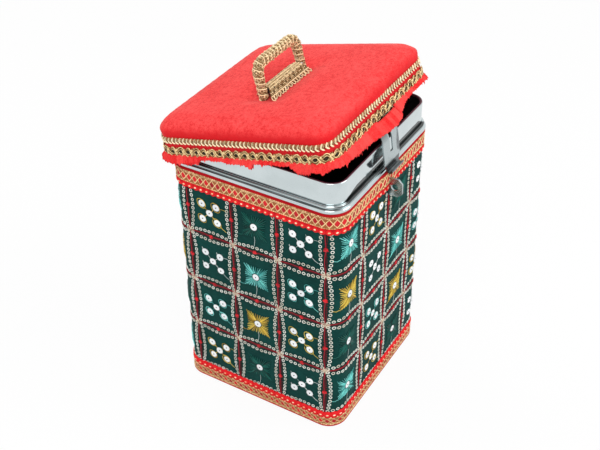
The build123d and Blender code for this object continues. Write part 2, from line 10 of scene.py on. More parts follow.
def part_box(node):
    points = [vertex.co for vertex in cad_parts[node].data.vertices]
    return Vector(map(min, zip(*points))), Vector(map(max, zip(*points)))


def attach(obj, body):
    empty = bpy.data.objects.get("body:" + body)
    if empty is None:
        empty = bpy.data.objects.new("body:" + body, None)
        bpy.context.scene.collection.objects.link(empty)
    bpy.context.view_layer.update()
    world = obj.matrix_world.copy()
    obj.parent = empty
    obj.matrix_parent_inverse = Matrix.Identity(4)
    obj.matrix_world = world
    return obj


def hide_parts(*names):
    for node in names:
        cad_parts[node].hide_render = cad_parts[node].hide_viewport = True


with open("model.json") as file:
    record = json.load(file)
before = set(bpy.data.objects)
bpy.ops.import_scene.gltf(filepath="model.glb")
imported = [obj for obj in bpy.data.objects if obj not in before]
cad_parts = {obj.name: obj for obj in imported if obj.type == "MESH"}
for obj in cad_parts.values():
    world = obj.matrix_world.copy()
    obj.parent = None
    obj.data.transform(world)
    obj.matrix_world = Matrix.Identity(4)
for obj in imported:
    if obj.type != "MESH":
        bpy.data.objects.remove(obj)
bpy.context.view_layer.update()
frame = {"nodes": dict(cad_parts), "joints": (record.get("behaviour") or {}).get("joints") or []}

# A square sweets tin: embroidered green body, lace bands, polished neck, and a velvet lid
# that stands ajar, with braid, chain lace, net fringe and a wrapped handle.
# Shapes are worked out in millimetres and scaled to metres when a mesh is made. Embroidery,
# lace and trims are sewn flat, at (along, height, outwards), and then laid round the tin or lid.

MM = 0.001
rng = random.Random(11)

# ------------------------------------------------------------------ sizes, in mm
BODY_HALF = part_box("fabric_sleeve")[1].x / MM
BODY_RADIUS = 11.0
BODY_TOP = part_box("fabric_sleeve")[1].z / MM
TOP_LACE_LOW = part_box("top_lace")[0].z / MM
BOTTOM_LACE_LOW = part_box("bottom_lace")[0].z / MM
BOTTOM_LACE_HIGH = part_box("bottom_lace")[1].z / MM
LEAF_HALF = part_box("hinge_body_leaf")[1].x / MM
LEAF_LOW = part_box("hinge_body_leaf")[0].z / MM
FLAP_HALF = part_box("fringe_flap")[1].x / MM

joints = {j["name"]: j for j in frame["joints"]}
LID_AJAR = math.radians(-joints["lid_hinge"]["range_deg"][0])
HINGE_Y = joints["lid_hinge"]["pos_m"][1] / MM
HINGE_Z = joints["lid_hinge"]["pos_m"][2] / MM
HINGE_GAP = 15.5                # half the stretch of trim left out at the lid's hinge

# half width and heights of the closed lid
LID_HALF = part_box("velvet_cover")[1].x / MM
LID_RADIUS = 9.4
SEAT_Z = 184.8                  # top of the pad where the handle stands
HEM_Z = 173.0
BRAID_LOW = 172.8
BRAID_HEIGHT = 3.6
TAPE_LOW = 165.3
TAPE_HIGH = 175.6
CHAIN_LOW = 165.7
CHAIN_HEIGHT = 5.0

HANDLE_X = -3.5
HANDLE_Y = 0.5
HANDLE_BAR_Z = 187.05
HANDLE_FOOT_Z = SEAT_Z + 0.2
HANDLE_RISE = 17.7
HANDLE_FOOT = 20.2
HANDLE_TOP = 19.7
HANDLE_BEND = 6.0

# the embroidered grid
COLUMNS = 14
ROW_PITCH = 35.8
ROW_LOW = 11.4
ROWS = 4
FIRST_LINE = 2.1


# ------------------------------------------------------------------ surfaces
def circle(count):
    """Angles evenly round."""
    return np.linspace(0, 2 * math.pi, count, endpoint=False)


def unit(vectors):
    """Vectors at length 1."""
    return vectors / (np.linalg.norm(vectors, axis=-1, keepdims=True) + 1e-12)


def turned(x, y, angle):
    """x and y turned by an angle."""
    c, s = np.cos(angle), np.sin(angle)
    return x * c - y * s, x * s + y * c


def places(along, height, out):
    """Places from numbers, rows or grids that fit one another."""
    return np.stack(np.broadcast_arrays(along, height, out), -1)


def raised(points, lift):
    """Places moved outwards."""
    along, height, out = points.T
    return places(along, height, out + lift)


def rise(value, start, span):
    """0 up to start, 1 from span above it, and even between."""
    return min(max((value - start) / span, 0), 1)


def loop_length(half, radius):
    """Length round a square with rounded corners."""
    return 8 * (half - radius) + 2 * math.pi * radius


def loop_place(u, half, radius):
    """Places and outward directions on a rounded square, u mm from the middle of the back."""
    run = half - radius
    arc = radius * math.pi / 2
    side = 2 * run + arc
    along = np.mod(u + run, 4 * side)
    turn = np.floor(along / side)
    along = along - turn * side
    angle = np.clip((along - 2 * run) / arc, 0, 1) * math.pi / 2
    x = np.where(angle > 0, -run - radius * np.sin(angle), run - np.minimum(along, 2 * run))
    y = run + radius * np.cos(angle)
    quarter = turn * math.pi / 2
    return *turned(x, y, quarter), *turned(-np.sin(angle), np.cos(angle), quarter)


def around(points, half, radius):
    """Places (along, height, outwards) laid round a rounded square."""
    along, height, out = points.T
    x, y, nx, ny = loop_place(along, half, radius)
    return places(x + nx * out, y + ny * out, height)


BODY_LOOP = loop_length(BODY_HALF, BODY_RADIUS)
LID_LOOP = loop_length(LID_HALF, LID_RADIUS)
PITCH = BODY_LOOP / COLUMNS

SWELL = 0.35                    # of the fabric in the middle of a cell
LEAF_PRESS = 4.0                # how far round the hinge's leaf the fabric is held flat


def swell(u, z):
    """How far the fabric stands proud between the lines of embroidery."""
    across = np.abs(np.sin(math.pi * (u - FIRST_LINE) / PITCH))
    up = np.abs(np.sin(math.pi * (z - ROW_LOW) / ROW_PITCH))
    off = np.minimum(np.abs(u), np.abs(BODY_LOOP - u))
    beside = np.clip((LEAF_HALF + LEAF_PRESS - off) / LEAF_PRESS, 0, 1)
    below = np.clip((z - LEAF_LOW + LEAF_PRESS) / LEAF_PRESS, 0, 1)
    return SWELL * across ** 0.7 * up ** 0.7 * (1 - beside * below)


def under_leaf(u, z, room=0.7):
    """Whether a place on the fabric lies below the hinge's leaf."""
    return min(u, BODY_LOOP - u) < LEAF_HALF + room and z > LEAF_LOW - room


# how far the embroidery is out of line round the tin, where the fabric was pulled round a corner
DRIFT_AT = (0, 60, 92, 122, 152, 168, 182, 212, 243, 280, BODY_LOOP)
DRIFT_ALONG = (0, -0.6, -0.9, -0.9, -0.2, 0.8, 1.3, 1.0, 0.2, 0, 0)
DRIFT_UP = (0, -0.8, -1.1, -0.4, 0.8, 0.6, -1.1, -1.3, -0.8, 0, 0)
DRIFT_PULLED = (0, 0.4, 0.8, 1, 1, 1, 1, 1, 0.8, 0, 0)
DRIFT_STRETCH = 0.013           # of the height where it is pulled, from the middle height
DRIFT_MIDDLE = 83


def drifted(points):
    """Embroidery places, a little out of line, on the fabric of the body."""
    u, z, out = points.T
    along, up, pulled = (np.interp(u, DRIFT_AT, row) for row in (DRIFT_ALONG, DRIFT_UP, DRIFT_PULLED))
    return on_body(places(u + along, z + up + DRIFT_STRETCH * (z - DRIFT_MIDDLE) * pulled, out))


def on_body(points):
    """Places on the swollen fabric of the body."""
    return on_wall(raised(points, swell(points[:, 0], points[:, 1])))


def on_wall(points):
    """Places on the flat wall of the body."""
    return around(points, BODY_HALF, BODY_RADIUS)


def over_staple(points):
    """Lace places on the wall, raised where the staple's plate lies below."""
    off = np.abs(points[:, 0] - BODY_LOOP / 2)
    return on_wall(raised(points, 0.45 + 0.75 * (1 - np.clip((off - 6.5) / 3.5, 0, 1))))


def foot_lace(points):
    """Lace places round the tin's foot."""
    return on_wall(raised(points, 0.35))


def ajar(points):
    """Closed-lid places turned to the rest pose."""
    x, y, z = points.T
    y, z = turned(y - HINGE_Y, z - HINGE_Z, -LID_AJAR)
    return places(x, HINGE_Y + y, HINGE_Z + z)


def lid_corner(u, width):
    """1 in the middle of each corner of the lid, falling to 0 along its sides."""
    side = LID_LOOP / 4
    off = np.mod(u, side) - side / 2
    return np.exp(-((off / width) ** 2))


def on_lid(points):
    """Places round the lid's edge in the rest pose, with trims pulled tighter at its corners."""
    pulled = raised(points, -0.3 * lid_corner(points[:, 0], 8.0))
    return ajar(around(pulled, LID_HALF, LID_RADIUS))


# ------------------------------------------------------------------ mesh building
def quads(n, m, close_n=False, close_m=False):
    """Faces over n by m points; the last row or column joins the first where it is closed."""
    return [
        (i * m + j, (i + 1) % n * m + j, (i + 1) % n * m + (j + 1) % m, i * m + (j + 1) % m)
        for i in range(n if close_n else n - 1)
        for j in range(m if close_m else m - 1)
    ]


def placed(name, data):
    """New object in the scene."""
    made = bpy.data.objects.new(name, data)
    bpy.context.scene.collection.objects.link(made)
    return made


def thicken(piece, thickness, offset=0):
    """Gives a sheet its thickness in mm: outwards and inwards alike at 0, or inwards at -1."""
    solid = piece.modifiers.new("thickness", "SOLIDIFY")
    solid.thickness = thickness * MM
    solid.offset = offset
    return piece


class Sewing:
    """Collects faces, and makes one mesh of them once a surface is given."""

    def __init__(self, hidden=None):
        self.hidden = hidden
        self.points = []
        self.faces = []
        self.tints = []
        self.count = 0

    def add(self, points, faces, tint=None):
        """One stitch or bead, which has one tint, random unless it is given."""
        points = np.asarray(points, float).reshape(-1, 3)
        tint = rng.random() if tint is None else tint
        if self.hidden is not None and self.hidden(*points[:, :2].mean(0)):
            return
        self.points.append(points)
        self.tints.append(np.full(len(points), tint))
        self.faces += [tuple(self.count + i for i in face) for face in faces]
        self.count += len(points)

    def grid(self, points, close_u=False, close_v=False, tint=None):
        """Sheet over an array of n by m points."""
        self.add(points, quads(*points.shape[:2], close_u, close_v), tint)

    def bead(self, centre, size, lean=0.0, sides=8, rings=5, tint=None):
        """Ellipsoid; size gives its half axes and lean turns it in the surface."""
        a = circle(sides)
        b = np.linspace(-math.pi / 2, math.pi / 2, rings + 1)[1:-1, None]
        ball = places(np.cos(b) * np.cos(a), np.cos(b) * np.sin(a), np.sin(b)).reshape(-1, 3)
        x, y, z = (np.concatenate([[(0, 0, -1)], ball, [(0, 0, 1)]]) * size).T
        last = 1 + (rings - 2) * sides
        sectors = [(i, (i + 1) % sides) for i in range(sides)]
        faces = [(0, 1 + j, 1 + i) for i, j in sectors]
        for low in range(1, last, sides):
            faces += [(low + i, low + j, low + sides + j, low + sides + i) for i, j in sectors]
        faces += [(last + i, last + j, last + sides) for i, j in sectors]
        self.add(places(*turned(x, y, lean), z) + np.array(centre), faces, tint)

    def ring(self, centre, size, thickness, lean=0.0, sides=10, section=5, tint=None):
        """Small ring that lies on the surface; size gives its half axes."""
        a, b = circle(sides)[:, None], circle(section)
        x = np.cos(a) * (size[0] + thickness * np.cos(b))
        y = np.sin(a) * (size[1] + thickness * np.cos(b))
        points = places(*turned(x, y, lean), thickness * np.sin(b)) + np.array(centre)
        self.grid(points, True, True, tint)

    def tube(self, path, radius, section=6, tint=None):
        """Thread along a path; radius may be one number or one for each point."""
        path = np.asarray(path, float)
        n = len(path)
        radius = np.broadcast_to(np.asarray(radius, float), (n,))[:, None, None]
        ahead = np.roll(path, -1, 0) - np.roll(path, 1, 0)
        ahead[0] = path[1] - path[0]
        ahead[-1] = path[-1] - path[-2]
        ahead = unit(ahead)
        side = unit(np.cross(ahead, (0.0, 0.0, 1.0)))
        lift = np.cross(side, ahead)
        a = circle(section)[:, None]
        points = path[:, None] + radius * (np.cos(a) * side[:, None] + np.sin(a) * lift[:, None])
        faces = [face[::-1] for face in quads(n, section, False, True)]
        faces.append(tuple(range(section)))
        faces.append(tuple(reversed(range((n - 1) * section, n * section))))
        self.add(points, faces, tint)

    def piece(self, name, finish, body, slot, surface=None):
        """Makes the mesh object, with its finish and on a body of the frame; slot is not used."""
        points = np.concatenate(self.points)
        if surface is not None:
            points = surface(points)
        mesh = bpy.data.meshes.new(name)
        mesh.from_pydata((points * MM).tolist(), [], self.faces)
        tint = mesh.attributes.new("tint", "FLOAT", "POINT")
        tint.data.foreach_set("value", np.concatenate(self.tints).astype(np.float32))
        mesh.polygons.foreach_set("use_smooth", [True] * len(mesh.polygons))
        mesh.materials.append(MATERIALS[finish])
        mesh.update()
        made = placed(name, mesh)
        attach(made, body)
        return made


# ------------------------------------------------------------------ materials
WAVE_SCALE = 0.3142             # of a wave texture whose stripes are 1 mm apart


class Value:
    """A node's output that takes part in arithmetic."""

    def __init__(self, nodes, socket):
        self.nodes = nodes
        self.socket = socket

    def beside(self, name):
        """Another output of the same node."""
        return Value(self.nodes, self.socket.node.outputs[name])

    def math(self, operation, *others):
        return self.nodes.node("ShaderNodeMath", {"operation": operation}, [self, *others])

    def __add__(self, other):
        return self.math("ADD", other)

    def __sub__(self, other):
        return self.math("SUBTRACT", other)

    def __rsub__(self, other):
        return self.nodes.node("ShaderNodeMath", {"operation": "SUBTRACT"}, [other, self])

    def __mul__(self, other):
        return self.math("MULTIPLY", other)

    __radd__ = __add__
    __rmul__ = __mul__

    def between(self, low, high):
        """0 at low, 1 at high, smooth and held outside."""
        sockets = {"Value": self, "From Min": low, "From Max": high}
        return self.nodes.node("ShaderNodeMapRange", {"interpolation_type": "SMOOTHSTEP"}, sockets)

    def blend(self, first, second):
        """Colour that goes from first to second with this value."""
        sockets = {0: self, 6: first, 7: second}
        return self.nodes.node("ShaderNodeMix", {"data_type": "RGBA"}, sockets, out=2)


class Nodes:
    """The nodes of a material or of the world, made afresh."""

    def __init__(self, owner):
        owner.use_nodes = True
        self.tree = owner.node_tree
        self.tree.nodes.clear()

    def node(self, kind, settings=None, sockets=None, out=0):
        """Adds a node; settings are made first, and sockets take values or links."""
        made = self.tree.nodes.new(kind)
        for key, value in (settings or {}).items():
            setattr(made, key, value)
        if isinstance(sockets, list):
            sockets = dict(enumerate(sockets))
        for key, value in (sockets or {}).items():
            if isinstance(value, Value):
                self.tree.links.new(value.socket, made.inputs[key])
            elif isinstance(value, tuple) and len(value) == 3 and made.inputs[key].type == "RGBA":
                made.inputs[key].default_value = (*value, 1)
            else:
                made.inputs[key].default_value = value
        return Value(self, made.outputs[out])

    def end(self, kind, shader):
        """Ends the nodes with this shader."""
        made = self.tree.nodes.new(kind)
        self.tree.links.new(shader.socket, made.inputs["Surface"])


class Finish(Nodes):
    """One procedural material; its patterns are sized in mm."""

    def __init__(self, name):
        self.material = bpy.data.materials.new(name)
        super().__init__(self.material)
        sockets = {0: self.node("ShaderNodeTexCoord", out="Object"), "Scale": 1 / MM}
        self.place = self.node("ShaderNodeVectorMath", {"operation": "SCALE"}, sockets)

    def stretched(self, x, y, z):
        """Coordinates in mm, scaled along each axis."""
        sockets = [self.place, (x, y, z)]
        return self.node("ShaderNodeVectorMath", {"operation": "MULTIPLY"}, sockets)

    def noise(self, size, detail=3.0, rough=0.55, at=None, warp=0.0):
        """Soft random value with features of about this size."""
        sockets = {"Vector": at or self.place, "Scale": 1 / size}
        sockets.update({"Detail": detail, "Roughness": rough, "Distortion": warp})
        return self.node("ShaderNodeTexNoise", None, sockets, out="Fac")

    def cell_edges(self, size):
        """Distance to the nearest edge between random cells of about this size."""
        sockets = {"Vector": self.place, "Scale": 1 / size}
        settings = {"feature": "DISTANCE_TO_EDGE"}
        return self.node("ShaderNodeTexVoronoi", settings, sockets, out="Distance")

    def waves(self, size, direction, warp=0.0):
        """Stripes this far apart."""
        settings = {"wave_type": "BANDS", "bands_direction": direction, "wave_profile": "SIN"}
        sockets = {"Vector": self.place, "Scale": WAVE_SCALE / size, "Distortion": warp}
        sockets.update({"Detail": 1.0, "Detail Scale": 1.5})
        return self.node("ShaderNodeTexWave", settings, sockets, out="Fac")

    def tint(self):
        """The random number that each stitch or bead carries."""
        return self.node("ShaderNodeAttribute", {"attribute_name": "tint"}, out="Fac")

    def parts_of_place(self):
        """X, Y and Z of the place."""
        made = self.node("ShaderNodeSeparateXYZ", None, [self.place])
        return [made.beside(axis) for axis in "XYZ"]

    def surface(self, colour, rough, height=None, depth=0.1, metal=0.0, **constants):
        """Joins everything to one Principled shader; height is in units of depth mm."""
        sockets = {"Base Color": colour, "Roughness": rough, "Metallic": metal}
        sockets.update({key.replace("_", " "): value for key, value in constants.items()})
        if height is not None:
            bump = {"Strength": 1.0, "Distance": depth * MM, "Height": height}
            sockets["Normal"] = self.node("ShaderNodeBump", None, bump, out="Normal")
        return self.shaded(self.node("ShaderNodeBsdfPrincipled", None, sockets))

    def shaded(self, shader):
        """The material, ended with this shader."""
        self.end("ShaderNodeOutputMaterial", shader)
        return self.material


def green_silk():
    """Dark silk with slubs across it and a fine weave."""
    f = Finish("green_silk")
    shade = f.noise(26, 2) * 0.6 + f.noise(3, 2) * 0.4
    colour = shade.between(0.3, 0.75).blend((0.0025, 0.035, 0.031), (0.004, 0.056, 0.048))
    slub = f.noise(1, 2, at=f.stretched(0.25, 0.25, 3.5))
    colour = slub.between(0.5, 0.85).blend(colour, (0.006, 0.080, 0.067))
    weave = f.waves(0.42, "Z") * 0.5 + f.waves(0.42, "DIAGONAL") * 0.5
    rough = 0.55 + f.noise(4) * 0.2
    return f.surface(colour, rough, weave + slub * 0.8, 0.05, Specular_IOR_Level=0.07)


def thread(name, dark, light, rough=0.5, metal=0.0, grain=0.35, depth=0.06):
    """Spun thread whose colour varies from stitch to stitch and along each one."""
    f = Finish(name)
    mixed = f.tint() * 0.6 + f.noise(grain * 2, 2) * 0.6
    colour = mixed.between(0.25, 0.85).blend(dark, light)
    fibres = f.noise(grain, 4, 0.7) + f.waves(grain * 1.3, "DIAGONAL", 2.0) * 0.5
    rough = rough + 0.2 * (mixed - 0.5)
    return f.surface(colour, rough, fibres, depth, metal, Specular_IOR_Level=0.25)


def sequin_white():
    """Glossy white disc, some a little greyer than others."""
    f = Finish("sequin_white")
    shade = (f.tint() * 0.5 + f.noise(1.2, 2) * 0.5).between(0.2, 0.8)
    colour = shade.blend((0.80, 0.84, 0.86), (0.98, 1.0, 1.0))
    rough = 0.22 + f.noise(0.8) * 0.16
    dents = f.noise(0.9, 2)
    return f.surface(colour, rough, dents, 0.03, Coat_Weight=0.4, Coat_Roughness=0.1)


def velvet():
    """Red pile, brushed in patches, with painted shade that darkens it down the sides of the pad."""
    f = Finish("red_velvet")
    brushed = f.noise(24, 3, warp=0.6) * 0.6 + f.noise(5, 3) * 0.4
    pile = f.noise(0.7, 4, 0.75)
    lint = f.noise(2.0, 3, 0.7)
    shade = brushed * 0.26 + pile * 0.42 + lint * 0.34
    colour = shade.between(0.38, 0.62).blend((0.70, 0.018, 0.022), (1.0, 0.088, 0.084))
    # painted shade: the tint that the pad carries darkens the velvet low on its sides, above the braid
    lit = (f.tint() + 0.3 * (brushed - 0.5)).between(0.0, 1.0)
    colour = lit.blend((0.72, 0.008, 0.014), colour)
    return f.surface(
        colour, 0.86, pile + brushed * 0.8, 0.16, Sheen_Weight=0.35, Sheen_Roughness=0.35,
        Sheen_Tint=(1.0, 0.45, 0.40, 1), Specular_IOR_Level=0.15,
    )


def red_cloth(name, dark, light, grain=0.5):
    """Plain woven cloth."""
    f = Finish(name)
    shade = f.noise(6, 3) * 0.35 + f.noise(grain * 1.6, 3) * 0.35 + f.tint() * 0.3
    colour = shade.between(0.30, 0.72).blend(dark, light)
    weave = f.waves(grain, "X") * 0.5 + f.waves(grain, "Z") * 0.5 + f.noise(grain, 2)
    return f.surface(colour, 0.75, weave, 0.08, Specular_IOR_Level=0.15)


def net_red():
    """Fine net: soft red with a mesh of small openings pressed into it."""
    f = Finish("net_red")
    folds = f.noise(2.4, 3)
    fibres = f.noise(0.45, 3, at=f.stretched(1.0, 1.0, 0.14))
    mesh = f.cell_edges(0.55).between(0.02, 0.2)
    # colour: painted shade of the folds, and painted light of each pleat through the tint, with the mesh
    # and fibres
    shade = folds * 0.30 + mesh * 0.12 + fibres * 0.30 + f.tint() * 0.28
    colour = shade.between(0.28, 0.70).blend((0.80, 0.010, 0.014), (1.0, 0.082, 0.074))
    return f.surface(colour, 0.75, mesh * 0.3 + folds + fibres, 0.16, Specular_IOR_Level=0.15)


def plain_steel():
    """Dull steel with streaks along the sheet."""
    f = Finish("plain_steel")
    streaks = f.noise(0.5, 3, at=f.stretched(0.1, 0.1, 3.0))
    smudge = f.noise(14, 3)
    shade = (streaks * 0.4 + smudge * 0.6).between(0.25, 0.75)
    colour = shade.blend((0.42, 0.43, 0.44), (0.60, 0.61, 0.62))
    return f.surface(colour, 0.3 + 0.1 * (smudge - 0.5), streaks, 0.02, 1.0)


def neck_steel():
    """Mirror-polished outside, with painted dark reflections by the beads; inside, painted dark as the
    shade in the tin, with a painted red reflection at its top.
    """
    f = Finish("neck_steel")
    x, y, z = f.parts_of_place()
    straight = 44.0             # half the flat stretch of each side
    across = (x.math("ABSOLUTE") - straight).math("MAXIMUM", 0.0)
    along = (y.math("ABSOLUTE") - straight).math("MAXIMUM", 0.0)
    outside = (across * across + along * along).math("SQRT").between(9.25, 9.5)
    left, front = (x * -1.0).between(49.0, 52.5), (y * -1.0).between(49.0, 52.5)
    smudge = f.noise(18, 3).between(0.3, 0.7)
    bright = smudge.blend((0.56, 0.625, 0.635), (0.62, 0.685, 0.695))
    # painted dark reflection: a band above the beads in front, which rises and falls along the side
    wander = f.noise(7, 2) - 0.5
    streak = f.noise(1, 3, at=f.stretched(0.04, 0.04, 2.6)).between(0.38, 0.62)
    top = z - 4.2 * x.between(-50.0, -33.0) * (1 - x.between(40.0, 50.0)) - wander
    band = front * z.between(165.4, 165.9) * (1 - top.between(166.0, 166.5))
    core = z.between(166.2, 167.2) * (1 - top.between(163.8, 165.2))
    shaded = (core * (0.45 + 0.55 * streak)).blend((0.085, 0.092, 0.092), (0.25, 0.275, 0.27))
    # painted dark reflections: thin lines beside and between the beads
    line = left * z.between(165.7, 166.1) * (1 - z.between(166.5, 166.8))
    line = line * (0.45 + 0.5 * y.between(-45.0, 15.0))
    groove = left * z.between(164.3, 164.5) * (1 - z.between(164.8, 165.0))
    groove = groove * (0.55 + 0.4 * streak)
    lines = f.noise(1, 3, at=f.stretched(0.05, 0.05, 3.5)).between(0.55, 0.66)
    lines = lines * (1 - z.between(163.0, 165.0)) * 0.5
    dark = groove.math("MAXIMUM", lines).math("MAXIMUM", line)
    bright = band.blend(dark.blend(bright, (0.060, 0.070, 0.070)), shaded)
    # painted shade: the inside of the tin near black, with a painted red reflection along the top of the
    # rim
    inside = z.between(178.6, 179.6).blend((0.010, 0.008, 0.009), (0.10, 0.018, 0.035))
    rough = 0.05 + 0.04 * f.noise(5) + 0.45 * (1 - outside)
    return f.surface(outside.blend(inside, bright), rough, f.noise(9, 2), 0.02, outside)


def hasp_steel():
    """Pressed plate, bright with a few darker sweeps that are painted reflections."""
    f = Finish("hasp_plate")
    sweep = f.noise(13, 1, at=f.stretched(1.0, 0.6, 0.8), warp=0.5)
    fine = f.noise(0.8, 3, at=f.stretched(2.0, 0.2, 0.2))
    colour = sweep.between(0.36, 0.50).blend((0.10, 0.11, 0.12), (0.44, 0.50, 0.51))
    colour = (fine * 0.6).between(0.2, 0.6).blend(colour, (0.52, 0.57, 0.58))
    # painted dark reflections on the rolled lip at its foot and on the left arm of its slot
    x, _, z = f.parts_of_place()
    lip = (168.6 - z).between(-0.6, 0.6) * (z - 162.2).between(-0.4, 0.4)
    arm = (z - 184.0).between(-3.0, 3.0) * (x * -1.0 - 2.4).between(-0.8, 0.8)
    colour = (lip * (0.55 + 0.4 * sweep)).blend(colour, (0.050, 0.054, 0.058))
    colour = (arm * 0.8).blend(colour, (0.12, 0.125, 0.13))
    return f.surface(colour, 0.2 + 0.1 * sweep, fine, 0.008, 1.0)


def wall_steel():
    """Sheet of wall and base: dull, and painted dark as the shade inside the tin."""
    f = Finish("wall_steel")
    streaks = f.noise(0.5, 3, at=f.stretched(0.1, 0.1, 3.0))
    # painted shade: near-black steel for the inside of the tin
    colour = streaks.between(0.3, 0.7).blend((0.015, 0.015, 0.016), (0.05, 0.05, 0.052))
    return f.surface(colour, 0.5, streaks, 0.02, 0.4)


MATERIALS = {
    "silk": green_silk(),
    "ring": thread("pale_chain_stitch", (0.70, 0.69, 0.57), (0.98, 1.0, 0.92)),
    "cord": thread("dark_red_cord", (0.05, 0.008, 0.012), (0.42, 0.013, 0.028), 0.6, grain=1.6),
    "cord_shade": thread("cord_filling", (0.028, 0.010, 0.010), (0.15, 0.026, 0.032), 0.7, grain=1.2),
    "eye": thread("sequin_eye", (0.022, 0.011, 0.010), (0.10, 0.034, 0.032), 0.7),
    "knot": thread("red_knot", (0.34, 0.008, 0.014), (0.82, 0.020, 0.028), grain=0.7, depth=0.15),
    "flower": thread("pale_knot", (0.24, 0.15, 0.10), (0.86, 0.74, 0.56)),
    "gold_thread": thread("gold_thread", (0.42, 0.24, 0.018), (0.98, 0.74, 0.13), 0.42, 0.15),
    "white_thread": thread("white_thread", (0.22, 0.34, 0.32), (0.66, 0.78, 0.76), 0.45),
    "cyan_thread": thread("cyan_thread", (0.03, 0.30, 0.28), (0.26, 0.88, 0.82), 0.42),
    "green_thread": thread("green_thread", (0.006, 0.046, 0.039), (0.012, 0.155, 0.120), 0.45),
    "sequin": sequin_white(),
    "lace_red": red_cloth("lace_red", (0.50, 0.006, 0.012), (0.88, 0.018, 0.022)),
    "lace_dark": thread("lace_diamonds", (0.34, 0.005, 0.012), (0.70, 0.014, 0.022), 0.6),
    "lace_net": thread("lace_net", (0.14, 0.028, 0.012), (0.44, 0.15, 0.045), 0.5, 0.1),
    "lace_gold": thread("lace_gold", (0.46, 0.24, 0.08), (1.0, 0.74, 0.40), 0.42, 0.1),
    "lace_dot": thread("lace_dot", (0.90, 0.52, 0.26), (1.0, 0.88, 0.62), 0.4),
    "velvet": velvet(),
    "tape": red_cloth("red_tape", (0.62, 0.012, 0.018), (0.94, 0.032, 0.038), 0.4),
    "braid": thread("gold_braid", (0.36, 0.26, 0.11), (1.0, 0.86, 0.56), 0.36, 0.25),
    "braid_shade": thread("braid_shade_core", (0.16, 0.030, 0.012), (0.42, 0.13, 0.05), 0.5, 0.2),
    "chain": thread("gold_chain", (0.17, 0.075, 0.016), (0.88, 0.67, 0.34), 0.26, 0.5),
    "chain_shade": thread("chain_painted_shade", (0.015, 0.010, 0.004), (0.22, 0.12, 0.03), 0.6),
    "net": net_red(),
    "wrap": thread("handle_gold", (0.34, 0.20, 0.075), (0.98, 0.78, 0.47), 0.38, 0.1, 0.9),
    "wrap_shade": thread("handle_gold_shade", (0.12, 0.065, 0.022), (0.46, 0.28, 0.12), 0.5, 0.1, 0.9),
    "neck": neck_steel(),
    "wall": wall_steel(),
    "steel": plain_steel(),
    "hasp": hasp_steel(),
}


# ------------------------------------------------------------------ body: fabric and embroidery
def fabric_wrap():
    """Silk stretched round the body, with a lapped seam at the middle of the back."""
    sewing = Sewing()
    lap, low = 3.0, 0.6
    u = np.linspace(-lap, BODY_LOOP + lap, 300)[:, None]
    z = np.linspace(low, BODY_TOP, 66)
    pucker = 0.05 * np.sin(u * 1.7 + np.sin(z * 0.6) * 2) * np.sin(z * 0.9)
    over = 0.25 * np.clip((u - BODY_LOOP + lap) / 1.5, 0, 1)
    sewing.grid(places(u, z, pucker + over))
    made = sewing.piece("fabric_wrap", "silk", "tin", "green", on_body)
    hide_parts("fabric_sleeve")


RING_PITCH = 2.98
RING_HALF = 0.90
RING_THREAD = 0.22
RING_OUT = 0.26                 # over the fabric, as are the other OUT values
RING_ROW = (1.25, 2.0)          # how far a row is off the line at its ends, and more in the middle
CORD_OUT = 0.42
CORD_BOW = 0.42                 # how far the two cords of a line sway
CORD_PARTING = 0.14             # of each from the middle
CORDS = ((-1, 0.17, 0.15), (1, 0.23, 0.85))     # side, thickness, tint
FILLING_OUT = 0.14
FILLING_THREAD = 0.30
FILLING_WIDTH = (0.6, 2.1)      # of its zigzag at the ends of a line, and more in the middle
FILLING_STITCHES = 40
KNOT_OUT = 0.6
KNOT_SIZE = (1.55, 0.45, 0.45)
KNOT_TURNS = (-1.05, -0.45, 0.15, 0.75, 1.3)
FLOWER_PETALS = 10
FLOWER_LOOPS = 5


def line_ends(column, row, upright):
    """Both ends of one stretch of the embroidered grid."""
    u = FIRST_LINE + column * PITCH
    z = ROW_LOW + row * ROW_PITCH
    return (u, z), ((u, z + ROW_PITCH) if upright else (u + PITCH, z))


def clear_of_lace(u, z):
    """Whether a thread shows there, between the lace bands and beside the hinge's leaf."""
    return BOTTOM_LACE_HIGH - 1 < z < TOP_LACE_LOW + 1 and not under_leaf(u, z)


